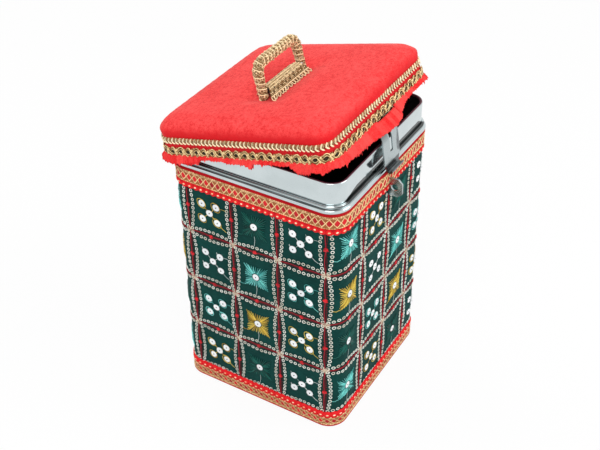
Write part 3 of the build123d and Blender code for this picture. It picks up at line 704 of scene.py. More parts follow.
def grid_stretch(rings, cords, filling, knots, ends):
    """Two rows of ring stitches that bow apart, with cords and a knot between them."""
    (u0, z0), (u1, z1) = ends
    length = math.hypot(u1 - u0, z1 - z0)
    du, dz = (u1 - u0) / length, (z1 - z0) / length
    lean = math.atan2(dz, du)

    def spot(share, off, out):
        return u0 + du * length * share - dz * off, z0 + dz * length * share + du * off, out

    def sewn(sewing, path, radius, sides, tint=None):
        path = [place for place in path if clear_of_lace(*place[:2])]
        if len(path) > 2:
            sewing.tube(path, radius, sides, tint)

    count = round(length / RING_PITCH)
    for side in (-1, 1):
        for i in range(count):
            share = (i + 0.5 + rng.uniform(-0.05, 0.05)) / count
            off = side * (RING_ROW[0] + RING_ROW[1] * math.sin(math.pi * share) ** 0.9)
            place = spot(share, off + rng.uniform(-0.12, 0.12), RING_OUT)
            if BOTTOM_LACE_HIGH - 0.5 <= place[1] <= TOP_LACE_LOW:
                half = RING_HALF + rng.uniform(-0.06, 0.06)
                twist = lean + rng.uniform(-0.3, 0.3)
                rings.ring(place, (half * 1.04, half * 0.94), RING_THREAD, twist, 11, 5)
    steps = np.linspace(0, 1, 29)
    for side, radius, tint in CORDS:
        bow = side * CORD_BOW * np.sin(2 * math.pi * steps) ** 2
        bow = bow + 0.1 * np.sin(steps * 9 + rng.uniform(0, 6)) + side * CORD_PARTING
        sewn(cords, [spot(share, off, CORD_OUT) for share, off in zip(steps, bow)], radius, 5, tint)
    shares = [(i + 0.5) / FILLING_STITCHES for i in range(FILLING_STITCHES)]
    widths = [FILLING_WIDTH[0] + FILLING_WIDTH[1] * math.sin(share * math.pi) for share in shares]
    zigzag = zip(shares, widths, (-0.5, 0.5) * FILLING_STITCHES)
    path = [spot(share, side * width, FILLING_OUT) for share, width, side in zigzag]
    sewn(filling, path, FILLING_THREAD, 4)
    u, z, out = spot(0.5, 0, KNOT_OUT)
    if BOTTOM_LACE_HIGH < z < TOP_LACE_LOW:
        for turn in KNOT_TURNS:
            centre = u + rng.uniform(-0.2, 0.2), z + rng.uniform(-0.2, 0.2), out
            knots.bead(centre, KNOT_SIZE, lean + turn)


def knot_flower(flowers, u, z):
    """Small pale knot of stitches where two lines cross."""
    for angle in circle(FLOWER_PETALS):
        angle += rng.uniform(-0.12, 0.12)
        reach = 1.8 + rng.uniform(-0.3, 0.3)
        petal = u + reach * math.cos(angle), z + reach * math.sin(angle), 0.42
        flowers.bead(petal, (0.9, 0.24, 0.32), angle, 6, 4)
    for angle in circle(FLOWER_LOOPS):
        loop = u + 0.75 * math.cos(angle), z + 0.75 * math.sin(angle), 0.62
        flowers.ring(loop, (0.5, 0.4), 0.2, angle, 8, 4)


def embroidered_grid():
    """Lines of chain stitch that divide the fabric into cells."""
    names = ("chain_stitch_rings", "red_cords", "cord_filling", "red_knots", "crossing_knots")
    finishes = ("ring", "cord", "cord_shade", "knot", "flower")
    hidden = (under_leaf, None, None, under_leaf, under_leaf)
    sewings = [Sewing(test) for test in hidden]
    *lines, flowers = sewings
    for column in range(COLUMNS):
        for row in range(ROWS):
            grid_stretch(*lines, line_ends(column, row, True))
            grid_stretch(*lines, line_ends(column, row, False))
            if row > 0:
                knot_flower(flowers, *line_ends(column, row, True)[0])
    for sewing, name, finish in zip(sewings, names, finishes):
        sewing.piece(name, finish, "tin", "green", drifted)


SEQUIN_RADIUS = 2.3
CROSS_REACH = 7.313             # from the middle sequin to the outer ones
LOOP_HALF = 2.55                # of the thread looped round an outer sequin
# threads of the motifs, as (along, up, outwards) from a motif's middle
CROSS_TAIL = ((6.75, -6.75, 0.3), (8.55, -8.45, 0.25), (10.95, -9.75, 0.3))
CROSS_SIDE = ((7.55, 5.35, 0.3), (9.75, 5.45, 0.25), (11.95, 5.05, 0.3))
CROSS_STRAY = ((-1.6, 1.5, 0.5), (-2.2, 2.2, 0.35), (-2.4, 2.7, 0.2))
STAR_TAIL = ((0, -5.2, 0.35), (0.4, -9, 0.3), (-0.3, -13.5, 0.3))
STAR_SIDE = ((-7.6, -7.4, 0.2), (-9.4, -8.2, 0.25), (-12.0, -7.6, 0.3))
STAR_HALF = 8.1                 # to its corners
STAR_REACH = 7.9                # to the tips along its sides, which curve in towards the middle
STAR_HOLLOW = 0.6
STAR_ROOT = 2.75
STAR_STITCHES = 10              # in a quarter


def sequin(discs, eyes, u, z):
    """Cupped disc sewn down through its middle."""
    radius = SEQUIN_RADIUS + rng.uniform(-0.08, 0.08)
    r = np.array([0.9 * radius, radius, 0.93 * radius, 1.5, 0.42, 0.28])
    height = np.array([0.2, 0.45, 0.62, 0.72, 0.62, 0.50])
    tilt_u, tilt_z = rng.uniform(-0.05, 0.05), rng.uniform(-0.05, 0.05)
    a = circle(20)[:, None]
    across, up = r * np.cos(a), r * np.sin(a)
    discs.grid(places(u + across, z + up, height + across * tilt_u + up * tilt_z), True)
    eyes.bead((u, z, 0.56), (0.46, 0.46, 0.26), 0, 6, 4, 0.0)


def cross_motif(threads, discs, eyes, u, z, looped):
    """Five sequins in a cross, joined by thread, and looped with it where it is coloured."""
    sequin(discs, eyes, u, z)
    for i in range(4):
        angle = math.pi / 4 + i * math.pi / 2 + rng.uniform(-0.06, 0.06)
        c, s = math.cos(angle), math.sin(angle)
        cu, cz = u + CROSS_REACH * c, z + CROSS_REACH * s
        sequin(discs, eyes, cu, cz)
        steps = np.linspace(0.4, 2 * math.pi + 0.1, 26) + angle + math.pi
        bow = LOOP_HALF + 0.75 * np.abs(np.cos(steps + math.pi / 4)) ** 5 + rng.uniform(-0.1, 0.15)
        if looped:
            loop = places(cu - 0.45 + bow * np.cos(steps), cz - 0.2 + bow * np.sin(steps), 0.33)
            threads.tube(loop, 0.18, 5)
        else:
            threads.tube(np.array((cu, cz, 0)) + CROSS_STRAY, [0.2, 0.2, 0.1], 5)
        near = np.array([u + 2.1 * c, z + 2.1 * s, 0.45])
        far = np.array([cu - 2.3 * c, cz - 2.3 * s, 0.4])
        threads.tube([near, (near + far) / 2, far], 0.15, 5)
    threads.tube(np.array((u, z, 0)) + CROSS_TAIL, 0.13, 5)
    threads.tube(np.array((u, z, 0)) + CROSS_SIDE, 0.10, 5)


def star_motif(threads, tails, discs, eyes, u, z):
    """Square star of straight stitches that fan out round one sequin."""
    for side in range(4):
        for t in np.linspace(-1, 1, STAR_STITCHES, endpoint=False):
            reach = STAR_REACH - STAR_HOLLOW * (1 - t * t) + rng.uniform(-0.5, 0.2)
            across = STAR_HALF * t + rng.uniform(-0.15, 0.15)
            tip = np.array(turned(across, reach, side * math.pi / 2))
            root = unit(tip) * (STAR_ROOT + rng.uniform(-0.2, 0.3))
            stitch = ((root, 0.30), ((root + tip) / 2, 0.46), (tip, 0.16))
            threads.tube([(u + q[0], z + q[1], out) for q, out in stitch], [0.21, 0.26, 0.20], 4)
    sequin(discs, eyes, u, z)
    tails.tube(np.array((u, z, 0)) + STAR_TAIL, 0.12, 5)
    threads.tube(np.array((u, z, 0)) + STAR_SIDE, 0.14, 5)


# colours of crosses and stars from the top row down, in turn from column to column
CROSS_COLOURS = [["gold", "white", "cyan", "gold"], ["white", "cyan", "gold", "white"]]
STAR_COLOURS = [["green", "cyan", "gold", "green"], ["cyan", "gold", "green", "cyan"]]


def embroidered_motifs():
    """Crosses and stars in the cells."""
    threads = {c: Sewing(under_leaf) for c in ("gold", "white", "cyan", "green")}
    discs, eyes = Sewing(under_leaf), Sewing(under_leaf)
    for column in range(COLUMNS):
        u = FIRST_LINE + (column + 0.5) * PITCH
        turn = (column // 2 + 1) % 2
        for row in range(ROWS):
            z = ROW_LOW + (ROWS - row - 0.5) * ROW_PITCH
            if column % 2 == 0:
                colour = CROSS_COLOURS[turn][row]
                lower = 1.0 if row == 0 else 0.0
                cross_motif(threads[colour], discs, eyes, u, z - lower, colour != "white")
            else:
                star_motif(threads[STAR_COLOURS[turn][row]], threads["white"], discs, eyes, u, z)
    for colour, sewing in threads.items():
        sewing.piece(f"{colour}_motif_threads", f"{colour}_thread", "tin", "green", drifted)
    discs.piece("sequins", "sequin", "tin", "green", drifted)
    eyes.piece("sequin_eyes", "eye", "tin", "green", drifted)


# ------------------------------------------------------------------ lace bands
LACE_REPEATS = 108
LACE_STEP = BODY_LOOP / LACE_REPEATS
LACE_TALL = 13.7                # height that the lace is drawn at, before it is scaled
LACE_GAP = HINGE_GAP + 0.7      # half the stretch of top lace left out at the hinge's leaf
SCALLOP_TOP = 4.2               # where its scallops end and its net begins
NET_TOP = 12.4
# outlines of the bands, as (height, outwards)
LACE_GROUND = (
    (0.2, 0.05), (0.3, 0.30), (1.6, 0.44), (3.9, 0.44), (5.0, 0.28), (11.8, 0.28),
    (12.4, 0.44), (13.4, 0.44), (13.6, 0.05),
)
LACE_NET = (
    (4.4, 0.30), (4.6, 0.46), (5.6, 0.44), (10.7, 0.44), (11.0, 0.50), (12.2, 0.48), (12.4, 0.30),
)
# beads of one repeat: height, outwards, half width, half height, thickness
SCALLOP = (1.95, 0.42, 1.86, 1.95, 0.56)
SCALLOP_JOIN = (3.5, 0.46, 1.20, 0.90, 0.46)
SCALLOP_DOT = (2.2, 0.94, 0.78, 0.55, 0.22)
JOIN_DOT = (3.6, 0.84, 0.62, 0.45, 0.20)
DIAMOND = (8.0, 0.50, 1.50, 2.10, 0.30)
LATTICE_LOW = 5.3
LATTICE_RISE = 5.4
# rows of edge beads: height, half height of a bead, outwards, beads in a repeat, shift in beads
LACE_BEADS = ((4.75, 0.36, 0.58, 3, 0.5), (11.05, 0.32, 0.58, 4, 1.0), (11.85, 0.46, 0.66, 3, 1.0))


def lace(name, node, low, height, flip, scallop_end, laid):
    """Lace: dotted red scallops, a gold lattice between beaded edges, and a plain red edge.

    With flip it hangs the other way up, with more dots and thinner gold.
    """
    scale = height / LACE_TALL
    tall = scale * scallop_end / SCALLOP_TOP
    short = scale * (NET_TOP - scallop_end) / (NET_TOP - SCALLOP_TOP)
    ground, red, net, gold, dots, gaps = sewings = [Sewing() for _ in range(6)]
    start = LACE_GAP if node == "top_lace" else 0.0
    end = BODY_LOOP - start

    def level(v):
        up = np.interp(v, (0, SCALLOP_TOP, NET_TOP, LACE_TALL), (0, scallop_end, NET_TOP, LACE_TALL))
        return low + height - up * scale if flip else low + up * scale

    def band(sewing, profile, wavy=0.0):
        u = np.linspace(start, end, 433)[:, None]
        v, out = np.array(profile).T
        wave = 1 - np.abs(np.sin(math.pi * u / LACE_STEP))
        points = places(u, level(v + wavy * wave * (np.arange(len(v)) < 2)), out)
        sewing.grid(points[:, ::-1] if flip else points, tint=0.7)

    def bead(sewing, at, shape, stretch=1.0, **look):
        v, out, wide, high, thick = shape
        sewing.bead((at, level(v), out), (wide, high * stretch, thick), **look)

    band(ground, LACE_GROUND, 0.55)
    band(net, LACE_NET)
    for i in range(LACE_REPEATS):
        u = i * LACE_STEP
        if u - 1.5 < start or u + LACE_STEP + 1.5 > end:
            continue
        middle = u + LACE_STEP / 2
        bead(red, middle, SCALLOP, tall, sides=12, rings=6, tint=0.9)
        bead(red, u, SCALLOP_JOIN, tall, tint=0.3)
        bead(dots, middle, SCALLOP_DOT, lean=0.3)
        if flip:
            bead(dots, u, JOIN_DOT, lean=0.3, tint=0.1)
        bead(gaps, middle, DIAMOND, short, rings=6)
        for side in (-1, 1):
            over = side > 0
            for shift in (-0.16, 0.16):
                t = np.linspace(0, 1, 6)
                out = 0.60 + 0.12 * side * np.sin(2 * math.pi * t) + 0.1 * over
                along = u + side * LACE_STEP * (t - 0.5) + shift
                path = places(along, level(LATTICE_LOW + LATTICE_RISE * t), out)
                light = rng.uniform(0.5, 0.8) + 0.25 * over - 0.35 * flip
                gold.tube(path, 0.13 if flip else 0.15, 4, light)
    for v, half, out, count, shift in LACE_BEADS:
        pitch = LACE_STEP / count
        for i in range(LACE_REPEATS * count):
            at = (i + shift) * pitch
            if start <= at <= end - 1:
                gold.bead((at, level(v), out), (pitch / 2 * 1.05, half * short, 0.30), 0.0, 6, 4)
    for v in (12.6, 13.2):
        red.tube(places(np.linspace(start, end, 320), level(v), 0.56), 0.33, 5, 0.0)
    finishes = {
        "ground": "lace_red", "scallops": "lace_red", "net": "lace_net", "gold": "lace_gold",
        "dots": "lace_dot", "diamonds": "lace_dark",
    }
    pieces = [
        sewing.piece(f"{name}_{part}", finish, "tin", "lace", laid)
        for sewing, (part, finish) in zip(sewings, finishes.items())
    ]
    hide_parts(node)


# ------------------------------------------------------------------ lid: pad and trims
PAD_CROWN = (1.15, 1.1)         # how far the velvet stands over the seat at its edge, and more inside
PAD_SLOPE = 34.0                # from the edge to where it is level
PAD_SIDE = ((0.25, HEM_Z - 0.1), (0.05, HEM_Z + 1.5), (0.0, 176.0), (-0.05, 177.4))  # inwards, up
PAD_BEND = 6.2                  # radius of its upper edge
PAD_BEND_Z = 179.4
PAD_COLUMNS = 280
PAD_ROWS = 40                   # from the rim to the middle
# where a change up the side of the pad starts, and over how many mm
BULGE_RISE = (176.2, 8.0)
CREASE_RISE = (176.5, 3.0)
CORNER_RISE = (180.6, 2.5)
# the painted shade on the sides of the pad fades out over this rise
LIGHT_RISE = (177.6, 6.5)
CLIP_Z = 176.6                  # height of the hasp's bracket under the velvet


def pad_height(x, y):
    """Height of the velvet's top: a low dome that is pressed down round the handle."""
    edge = np.clip((LID_HALF - np.maximum(np.abs(x), np.abs(y))) / PAD_SLOPE, 0, 1)
    dome = PAD_CROWN[0] + PAD_CROWN[1] * np.sin(edge * math.pi / 2)
    beside = np.clip(np.abs(x - HANDLE_X) - 20, 0, None)
    before = np.clip(np.abs(y - HANDLE_Y) - 6, 0, None)
    free = 1 - np.exp(-((np.hypot(beside, before) / 8) ** 2))
    ripple = 0.12 * np.sin(x * 0.16 + 1.1 * np.sin(y * 0.11)) * np.sin(y * 0.13 + 0.7)
    return SEAT_Z - 0.06 + (dome + ripple * free) * free


def velvet_pad():
    """Velvet pulled over the foam, down the sides and under the braid."""
    sewing = Sewing()
    u = np.linspace(0, LID_LOOP, PAD_COLUMNS, endpoint=False)
    x, y, nx, ny = loop_place(u, LID_HALF, LID_RADIUS)
    profile = list(PAD_SIDE)
    for a in np.linspace(0.0, 1.25, 10):
        inset = PAD_BEND * (1 - math.cos(a)) - 0.1
        profile.append((inset, PAD_BEND_Z + (PAD_BEND - 0.4) * math.sin(a)))
    in_front = np.exp(-(((u - LID_LOOP / 2) / 8.5) ** 6))
    rings = []
    for inset, z in profile:
        bulge = 0.45 * math.sin(math.pi * rise(z, *BULGE_RISE))
        crease = 0.10 * np.sin(u * 0.9 + 1.3 * np.sin(u * 0.17)) * rise(z, *CREASE_RISE)
        over_clip = 0.75 * math.exp(-(((z - CLIP_Z) / 2.6) ** 2)) * in_front
        cut = 1.5 * lid_corner(u, 8.5) * rise(z, *CORNER_RISE)
        out = bulge - inset + crease + over_clip - cut
        rings.append(places(x + nx * out, y + ny * out, z))
    rim_x, rim_y, rim_z = rings[-1].T
    for i in range(1, PAD_ROWS):
        x, y = rim_x * (1 - i / PAD_ROWS), rim_y * (1 - i / PAD_ROWS)
        lead = rise(i, 0, 5)
        edge_z = rim_z + 0.55 * lead
        lead = lead * lead * (3 - 2 * lead)
        rings.append(places(x, y, edge_z * (1 - lead) + pad_height(x, y) * lead))
    m = len(rings)
    sewing.grid(np.stack(rings, 1), True, tint=1.0)
    # tints for the velvet's painted shade: dark low on the sides, full on the top
    light = [rise(z, *LIGHT_RISE) for _, z in profile] + [1.0] * (m - len(profile))
    middle = np.array([[0.0, 0.0, pad_height(0.0, 0.0)]])
    sewing.points[0] = np.concatenate([sewing.points[0], middle])
    sewing.tints[0] = np.append(np.tile(light, PAD_COLUMNS), 1.0)
    last = PAD_COLUMNS * m
    sewing.faces += [(i + m - 1, (i + m) % last + m - 1, last) for i in range(0, last, m)]
    made = sewing.piece("velvet_pad", "velvet", "lid", "velvet", ajar)
    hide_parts("velvet_cover", "lid_foam")


def trim_places(pitch):
    """Even places round the lid's edge, between the two sides of the hinge."""
    start, end = HINGE_GAP + 0.6, LID_LOOP - HINGE_GAP - 0.6
    count = round((end - start) / pitch)
    return [start + (i + 0.5) * (end - start) / count for i in range(count)]


def trim_band(count):
    """Places from one side of the lid's hinge round to the other."""
    return np.linspace(HINGE_GAP, LID_LOOP - HINGE_GAP, count)


# strands of one stitch of the braid, as (along, up from its low edge, outwards)
BRAID_PITCH = 2.62
BRAID_UPPER = ((0.75, 3.5, 0.50), (0.2, 2.85, 0.84), (-0.2, 2.1, 0.90), (-0.25, 1.3, 0.78))
BRAID_LOWER = ((-0.6, 1.75, 0.74), (-0.15, 1.1, 0.94), (0.6, 0.35, 0.88), (1.2, -0.1, 0.58))


def braid():
    """Gold strands that lean one after another, over a darker core that is painted shade between them."""
    strands, core = Sewing(), Sewing()
    for u in trim_places(BRAID_PITCH):
        sway = rng.uniform(-0.12, 0.12)
        at = np.array([u, BRAID_LOW, 0.0])
        upper = at + BRAID_UPPER
        upper[0, 0] += sway
        strands.tube(upper, [0.34, 0.52, 0.52, 0.32], 6, rng.uniform(0.25, 0.9))
        strands.tube(upper + (1.1, -0.1, -0.18), 0.26, 5, rng.uniform(0.0, 0.3))
        lower = at + BRAID_LOWER
        lower[3, 0] += sway
        strands.tube(lower, [0.28, 0.45, 0.48, 0.28], 6, rng.uniform(0.75, 1.1))
    # dark cords behind the strands: painted shade in the gaps between them
    for up in (1.0, 2.0, BRAID_HEIGHT - 0.75):
        core.tube(places(trim_band(360), BRAID_LOW + up, 0.42), 0.5, 5)
    made = strands.piece("braid_strands", "braid", "lid", "gold", on_lid)
    core.piece("braid_shade_core", "braid_shade", "lid", "gold", on_lid)
    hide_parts("gold_braid")


def tape():
    """Red tape that shows between braid and chain."""
    sewing = Sewing()
    u = trim_band(380)[:, None]
    z = np.linspace(TAPE_LOW, TAPE_HIGH, 9)
    sewing.grid(places(u, z, 0.42 + 0.06 * np.sin(u * 2.1) * np.sin(z * 1.4)))
    made = thicken(sewing.piece("tape_band", "tape", "lid", "red", on_lid), 0.35, -1)
    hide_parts("red_tape")


CHAIN_PITCH = 5.55
CHAIN_LEAN = 0.22               # along the lid, for each mm of height
CHAIN_WAVE = 2.66
CHAIN_CORD = 0.32
CHAIN_OUT = 1.1
CHAIN_WEAVE = 0.45              # how far a cord passes over and under, from its middle
CHAIN_OVER = ((1.4, 1.5, 1.2), (1.9, 0.6, 1.55), (2.5, -0.6, 1.55), (2.9, -1.5, 1.1))
# section of the dark strip behind the chain, painted shade, as (up from the middle, outwards)
CHAIN_BACK = ((-1.3, 0.4), (-1.2, 0.75), (0, 0.85), (1.2, 0.75), (1.3, 0.4))


def chain():
    """Gold cords that weave over and under in two waves; the dark eyes between them and the strip behind
    are painted shade.
    """
    links, eyes = Sewing(), Sewing()
    middle = CHAIN_LOW + CHAIN_HEIGHT / 2
    t = np.linspace(-0.62, 0.62, 15)
    for i, u in enumerate(trim_places(CHAIN_PITCH)):
        for side in (-1, 1):
            out = CHAIN_OUT + CHAIN_WEAVE * side * (-1) ** i * np.sin(math.pi * t)
            for inward, light in ((0.0, 0.75), (0.64, 0.1), (1.24, 0.65)):
                wave = CHAIN_WAVE + rng.uniform(-0.1, 0.1)
                z = side * (wave * np.cos(math.pi * t) - inward)
                x = u + CHAIN_PITCH * t + CHAIN_LEAN * z + rng.uniform(-0.12, 0.12)
                tint = light + rng.uniform(-0.4, 0.25)
                links.tube(places(x, middle + z, out), CHAIN_CORD, 5, tint)
        # the first strand over each crossing takes the lightest tint, a painted highlight
        for shift, light in ((0.0, 1.0), (0.85, 0.3)):
            over = [(u + x + shift + rng.uniform(-0.1, 0.1), middle + z, out) for x, z, out in CHAIN_OVER]
            links.tube(over, [0.26, 0.44, 0.44, 0.26], 6, light + rng.uniform(-0.2, 0.1))
        # beads between the eyes, tinted lightest as painted highlights on real beads
        for z, light in ((1.15, 1.2), (-1.0, 0.9)):
            at = u + CHAIN_PITCH / 2 + CHAIN_LEAN * z + rng.uniform(-0.15, 0.15)
            links.bead((at, middle + z, 1.6), (0.62, 0.95, 0.42), -0.35, 8, 4, light)
        # dark beads in the eyes of the chain: painted shade in its holes
        eyes.bead((u, middle, 1.0), (1.2, 0.95, 0.34), 0.3, 8, 4, 0.0)
    z, out = np.array(CHAIN_BACK).T
    eyes.grid(places(trim_band(360)[:, None], middle + z, out), tint=0.6)
    made = links.piece("chain_links", "chain", "lid", "gold", on_lid)
    eyes.piece("chain_eye_shade", "chain_shade", "lid", "gold", on_lid)
    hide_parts("chain_lace")


# how far the net hangs below the chain, as (place round the lid, mm)
NET_DROP = (
    (15, 0.9), (46, 1.2), (54, 2.6), (62, 3.1), (70, 3.2), (80, 2.7), (83, 0.6), (97, 0.3),
    (101, 1.0), (112, 1.5), (115, 2.8), (116.5, 3.4), (118.5, 0.8), (124, 0.3), (142, 0.3),
    (145, 3.8), (149, 4.7), (153, 4.0), (155, 2.4), (160, 3.2), (163, 1.8), (167, 2.0),
    (172, 2.6), (182, 2.6), (196, 1.6), (217, 1.0), (245, 0.9), (266, 1.2), (272, 2.0),
    (280, 1.0), (330, 1.6), (420, 0.9),
)
NET_THICK = 0.16
NET_LAYERS = 2
NET_STEP = 0.3                  # between the points along its edge
NET_FRONT = (15.5, 34.0)        # how far the deeper net in front reaches, right and left
NET_FRONT_DROP = 4.6
NET_FLARE = 2.2                 # how far its torn edge stands out
NET_FRONT_FLARE = 2.4
NET_SEAM = 0.9                  # over the chain's low edge
FLAP_SEAM = 0.1
FRINGE_DEEP = 11.6              # height of the net in a layer, cut flat
FLAP_DEEP = 18.0
FLAP_PARTING = 0.1              # between the flap and the fringe on each side


def torn_edge(u, seed):
    """Uneven torn edge along the fringe, in mm."""
    teeth = random.Random(seed)
    marks, depths, at = [], [], float(u[0]) - 1
    while at < u[-1] + 3:
        marks += [at, at + teeth.uniform(0.25, 0.7)]
        depths += [teeth.uniform(0.0, 0.3)]
        depths += [teeth.uniform(0.4, 1.3) * (2.2 if teeth.random() < 0.12 else 1.0)]
        at += teeth.uniform(0.8, 2.4)
    return np.interp(u, marks, depths)


def painted_pleat_light(u, end, seed):
    """Painted light and shade of each pleat of the net, from its seam down."""
    pleats = random.Random(seed)
    marks, shades = [0.0], [0.5]
    while marks[-1] < end:
        marks += [marks[-1] + 0.25, marks[-1] + pleats.uniform(2.5, 8.5)]
        shades += [pleats.random()] * 2
    return np.interp(u, marks, shades)


def fringe_sheet(sewing, start, end, layer, seam):
    """One layer of gathered net between two places along the lid's edge."""
    seed = 2 * layer
    u = np.arange(start, end, NET_STEP)
    u[-1] = end
    v = np.linspace(0, 1, 8)
    off = u - LID_LOOP / 2
    front = np.exp(-((off / np.where(off > 0, *NET_FRONT)) ** 2))
    hasp = np.exp(-((off / 13) ** 4))
    flare = NET_FLARE + NET_FRONT_FLARE * front + 0.5 * lid_corner(u, 9.0)
    flare = flare + 0.4 * np.sin(u * 0.11 + seed) + 0.3 * layer
    rough = np.interp(u, *zip(*NET_DROP))
    drop = 0.3 + rough + NET_FRONT_DROP * front + 0.25 * np.sin(u * 0.19 + seed) - 0.3 * layer
    drop = drop + torn_edge(u, seed) * (0.75 + 0.22 * rough)
    fold = 0.30 * np.sin(u * 0.62 + 1.5 * np.sin(u * 0.13 + seed))
    fold = fold + 0.16 * np.sin(u * 2.3 + 1.9 * np.sin(u * 0.37 + layer))
    height = CHAIN_LOW + seam - (drop + seam)[:, None] * v
    out = (0.5 + layer * 0.3 + 2.2 * hasp)[:, None] + flare[:, None] * v ** 0.85 + fold[:, None] * v
    sewing.grid(places(u[:, None], height, out))
    # tint: the painted light and shade of each pleat
    sewing.tints[-1] = np.repeat(painted_pleat_light(u, end, seed + 5), len(v))


def fringe():
    """Gathered net below the chain, in two layers, parted where the hasp hangs."""
    middle = LID_LOOP / 2
    gap = FLAP_HALF + FLAP_PARTING
    flap = middle - gap + FLAP_PARTING, middle + gap - FLAP_PARTING
    made = []
    for name, body, (start, end), seam in (
        ("fringe_left", "lid", (HINGE_GAP, middle - gap), NET_SEAM),
        ("fringe_right", "lid", (middle + gap, LID_LOOP - HINGE_GAP), NET_SEAM),
        ("fringe_over_hasp", "fringe_flap", flap, FLAP_SEAM),
    ):
        sewing = Sewing()
        for layer in range(NET_LAYERS):
            fringe_sheet(sewing, start, end, layer, seam)
        made.append(thicken(sewing.piece(name, "net", body, "red", on_lid), NET_THICK))
    left, right, over_hasp = made
    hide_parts("net_fringe")
    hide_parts("fringe_flap")
    side = middle - gap - HINGE_GAP
    lengths = side, side, 2 * gap - 2 * FLAP_PARTING
    depths = FRINGE_DEEP, FRINGE_DEEP, FLAP_DEEP
    for piece, length, depth in zip((left, right, over_hasp), lengths, depths):
        length * MM
        depth * MM


# ------------------------------------------------------------------ handle
def handle_route(step=0.5):
    """Lengths along the handle's legs and top bar, and x and z of each."""
    lean = (HANDLE_FOOT - HANDLE_TOP) / HANDLE_RISE
    top_z = HANDLE_BAR_Z + HANDLE_RISE
    foot = HANDLE_FOOT - lean * (HANDLE_FOOT_Z - HANDLE_BAR_Z)
    corners = np.array([
        (-foot, HANDLE_FOOT_Z), (-HANDLE_TOP, top_z), (HANDLE_TOP, top_z), (foot, HANDLE_FOOT_Z),
    ])
    points = [corners[0]]
    for i in (1, 2):
        back, on = unit(corners[i - 1] - corners[i]), unit(corners[i + 1] - corners[i])
        half = math.acos(float(np.dot(back, on))) / 2
        reach = HANDLE_BEND / math.tan(half)
        centre = corners[i] + unit(back + on) * HANDLE_BEND / math.sin(half)
        first, last = corners[i] + back * reach - centre, corners[i] + on * reach - centre
        start = math.atan2(first[1], first[0])
        turn = (math.atan2(last[1], last[0]) - start + math.pi) % (2 * math.pi) - math.pi
        angles = start + turn * np.linspace(0, 1, 14)
        points += list(centre + HANDLE_BEND * np.stack([np.cos(angles), np.sin(angles)], 1))
    points = np.array(points + [corners[3]])
    steps = np.linalg.norm(np.diff(points, axis=0), axis=1)
    lengths = np.concatenate([[0], np.cumsum(steps)])
    s = np.linspace(0, lengths[-1], int(lengths[-1] / step))
    return s, np.interp(s, lengths, points[:, 0]) + HANDLE_X, np.interp(s, lengths, points[:, 1])


def along_handle(points):
    """(length, angle round the bar, radius) to places on the handle in the rest pose."""
    s, x, z = handle_route()
    ahead = unit(np.stack([np.gradient(x, s), np.gradient(z, s)], 1))
    length, angle, radius = points.T
    slim = 0.86 + 0.14 * np.clip((np.minimum(length, s[-1] - length) - 8) / 6, 0, 1)
    radius = radius * slim * (1 + 0.03 * np.sin(length * 1.3))
    px, pz, ax, az = (np.interp(length, s, row) for row in (x, z, *ahead.T))
    up = np.cos(angle) * radius
    return ajar(places(px - az * up, HANDLE_Y + np.sin(angle) * radius, pz + ax * up))


BEAD_GIRTH = 0.88               # of a bead's half height, above and below its middle


def bead_on_handle(sewing, s, angle, radius, size, tint):
    """Bead seated on the handle at a length and an angle."""
    centre, ahead = along_handle(np.array([[s, angle, radius], [s + 0.2, angle, radius]]))
    ahead = ahead - centre
    lean = math.atan2(ahead[2], ahead[0])
    x, y = BEAD_GIRTH * np.cos(circle(6)), BEAD_GIRTH * np.sin(circle(6))
    shape = [(0, 0, 1)]
    for level in (0.45, -0.45):
        shape += list(places(1.25 * x * math.cos(lean), y, level + 0.3 * x * math.sin(lean)))
    shape += [(0, 0, -1)]
    sectors = [(1 + i, 1 + (i + 1) % 6) for i in range(6)]
    faces = [(0, i, j) for i, j in sectors]
    faces += [(i, i + 6, j + 6, j) for i, j in sectors]
    faces += [(i + 6, 13, j + 6) for i, j in sectors]
    sewing.add(centre + size * np.array(shape), faces, tint)


def helix(sewing, s, angle, radius, thick, tint):
    """Cord wound round the handle, from inside one end of it to inside the other."""
    total = handle_route()[0][-1]
    s, angle, radius = np.stack([s, angle, radius])[:, (s > 0.2) & (s < total - 0.2)]
    path = along_handle(places(s, angle, radius))
    out = unit(path - along_handle(places(s, angle, 0.0)))
    side = np.cross(unit(np.gradient(path, axis=0)), out)
    a = circle(5)[:, None]
    ring = np.cos(a) * side[:, None] + np.sin(a) * out[:, None]
    sewing.grid(path[:, None] + thick * ring, False, True, tint)


WIND_PITCH = 3.3
# the ground under the beads is a darker gold: the lace's ground, and partly painted shade between the
# beads
WIND_CORE = 2.62                # radius of the ground under the beads
WIND_CORD = (0.02, 2.84, 0.40, 0.75)    # shift in turns, radius, thickness, tint
WIND_ZIGZAG = (0.55, 2.95, 0.26, 0.4)
# rows of beads: shift in turns, size, radius, tint
WIND_BEADS = ((0.28, 0.44, 2.80, 0.35), (0.52, 0.40, 2.72, 0.0), (0.78, 0.58, 2.94, 0.75))
WIND_COUNT = 11                 # beads in a turn


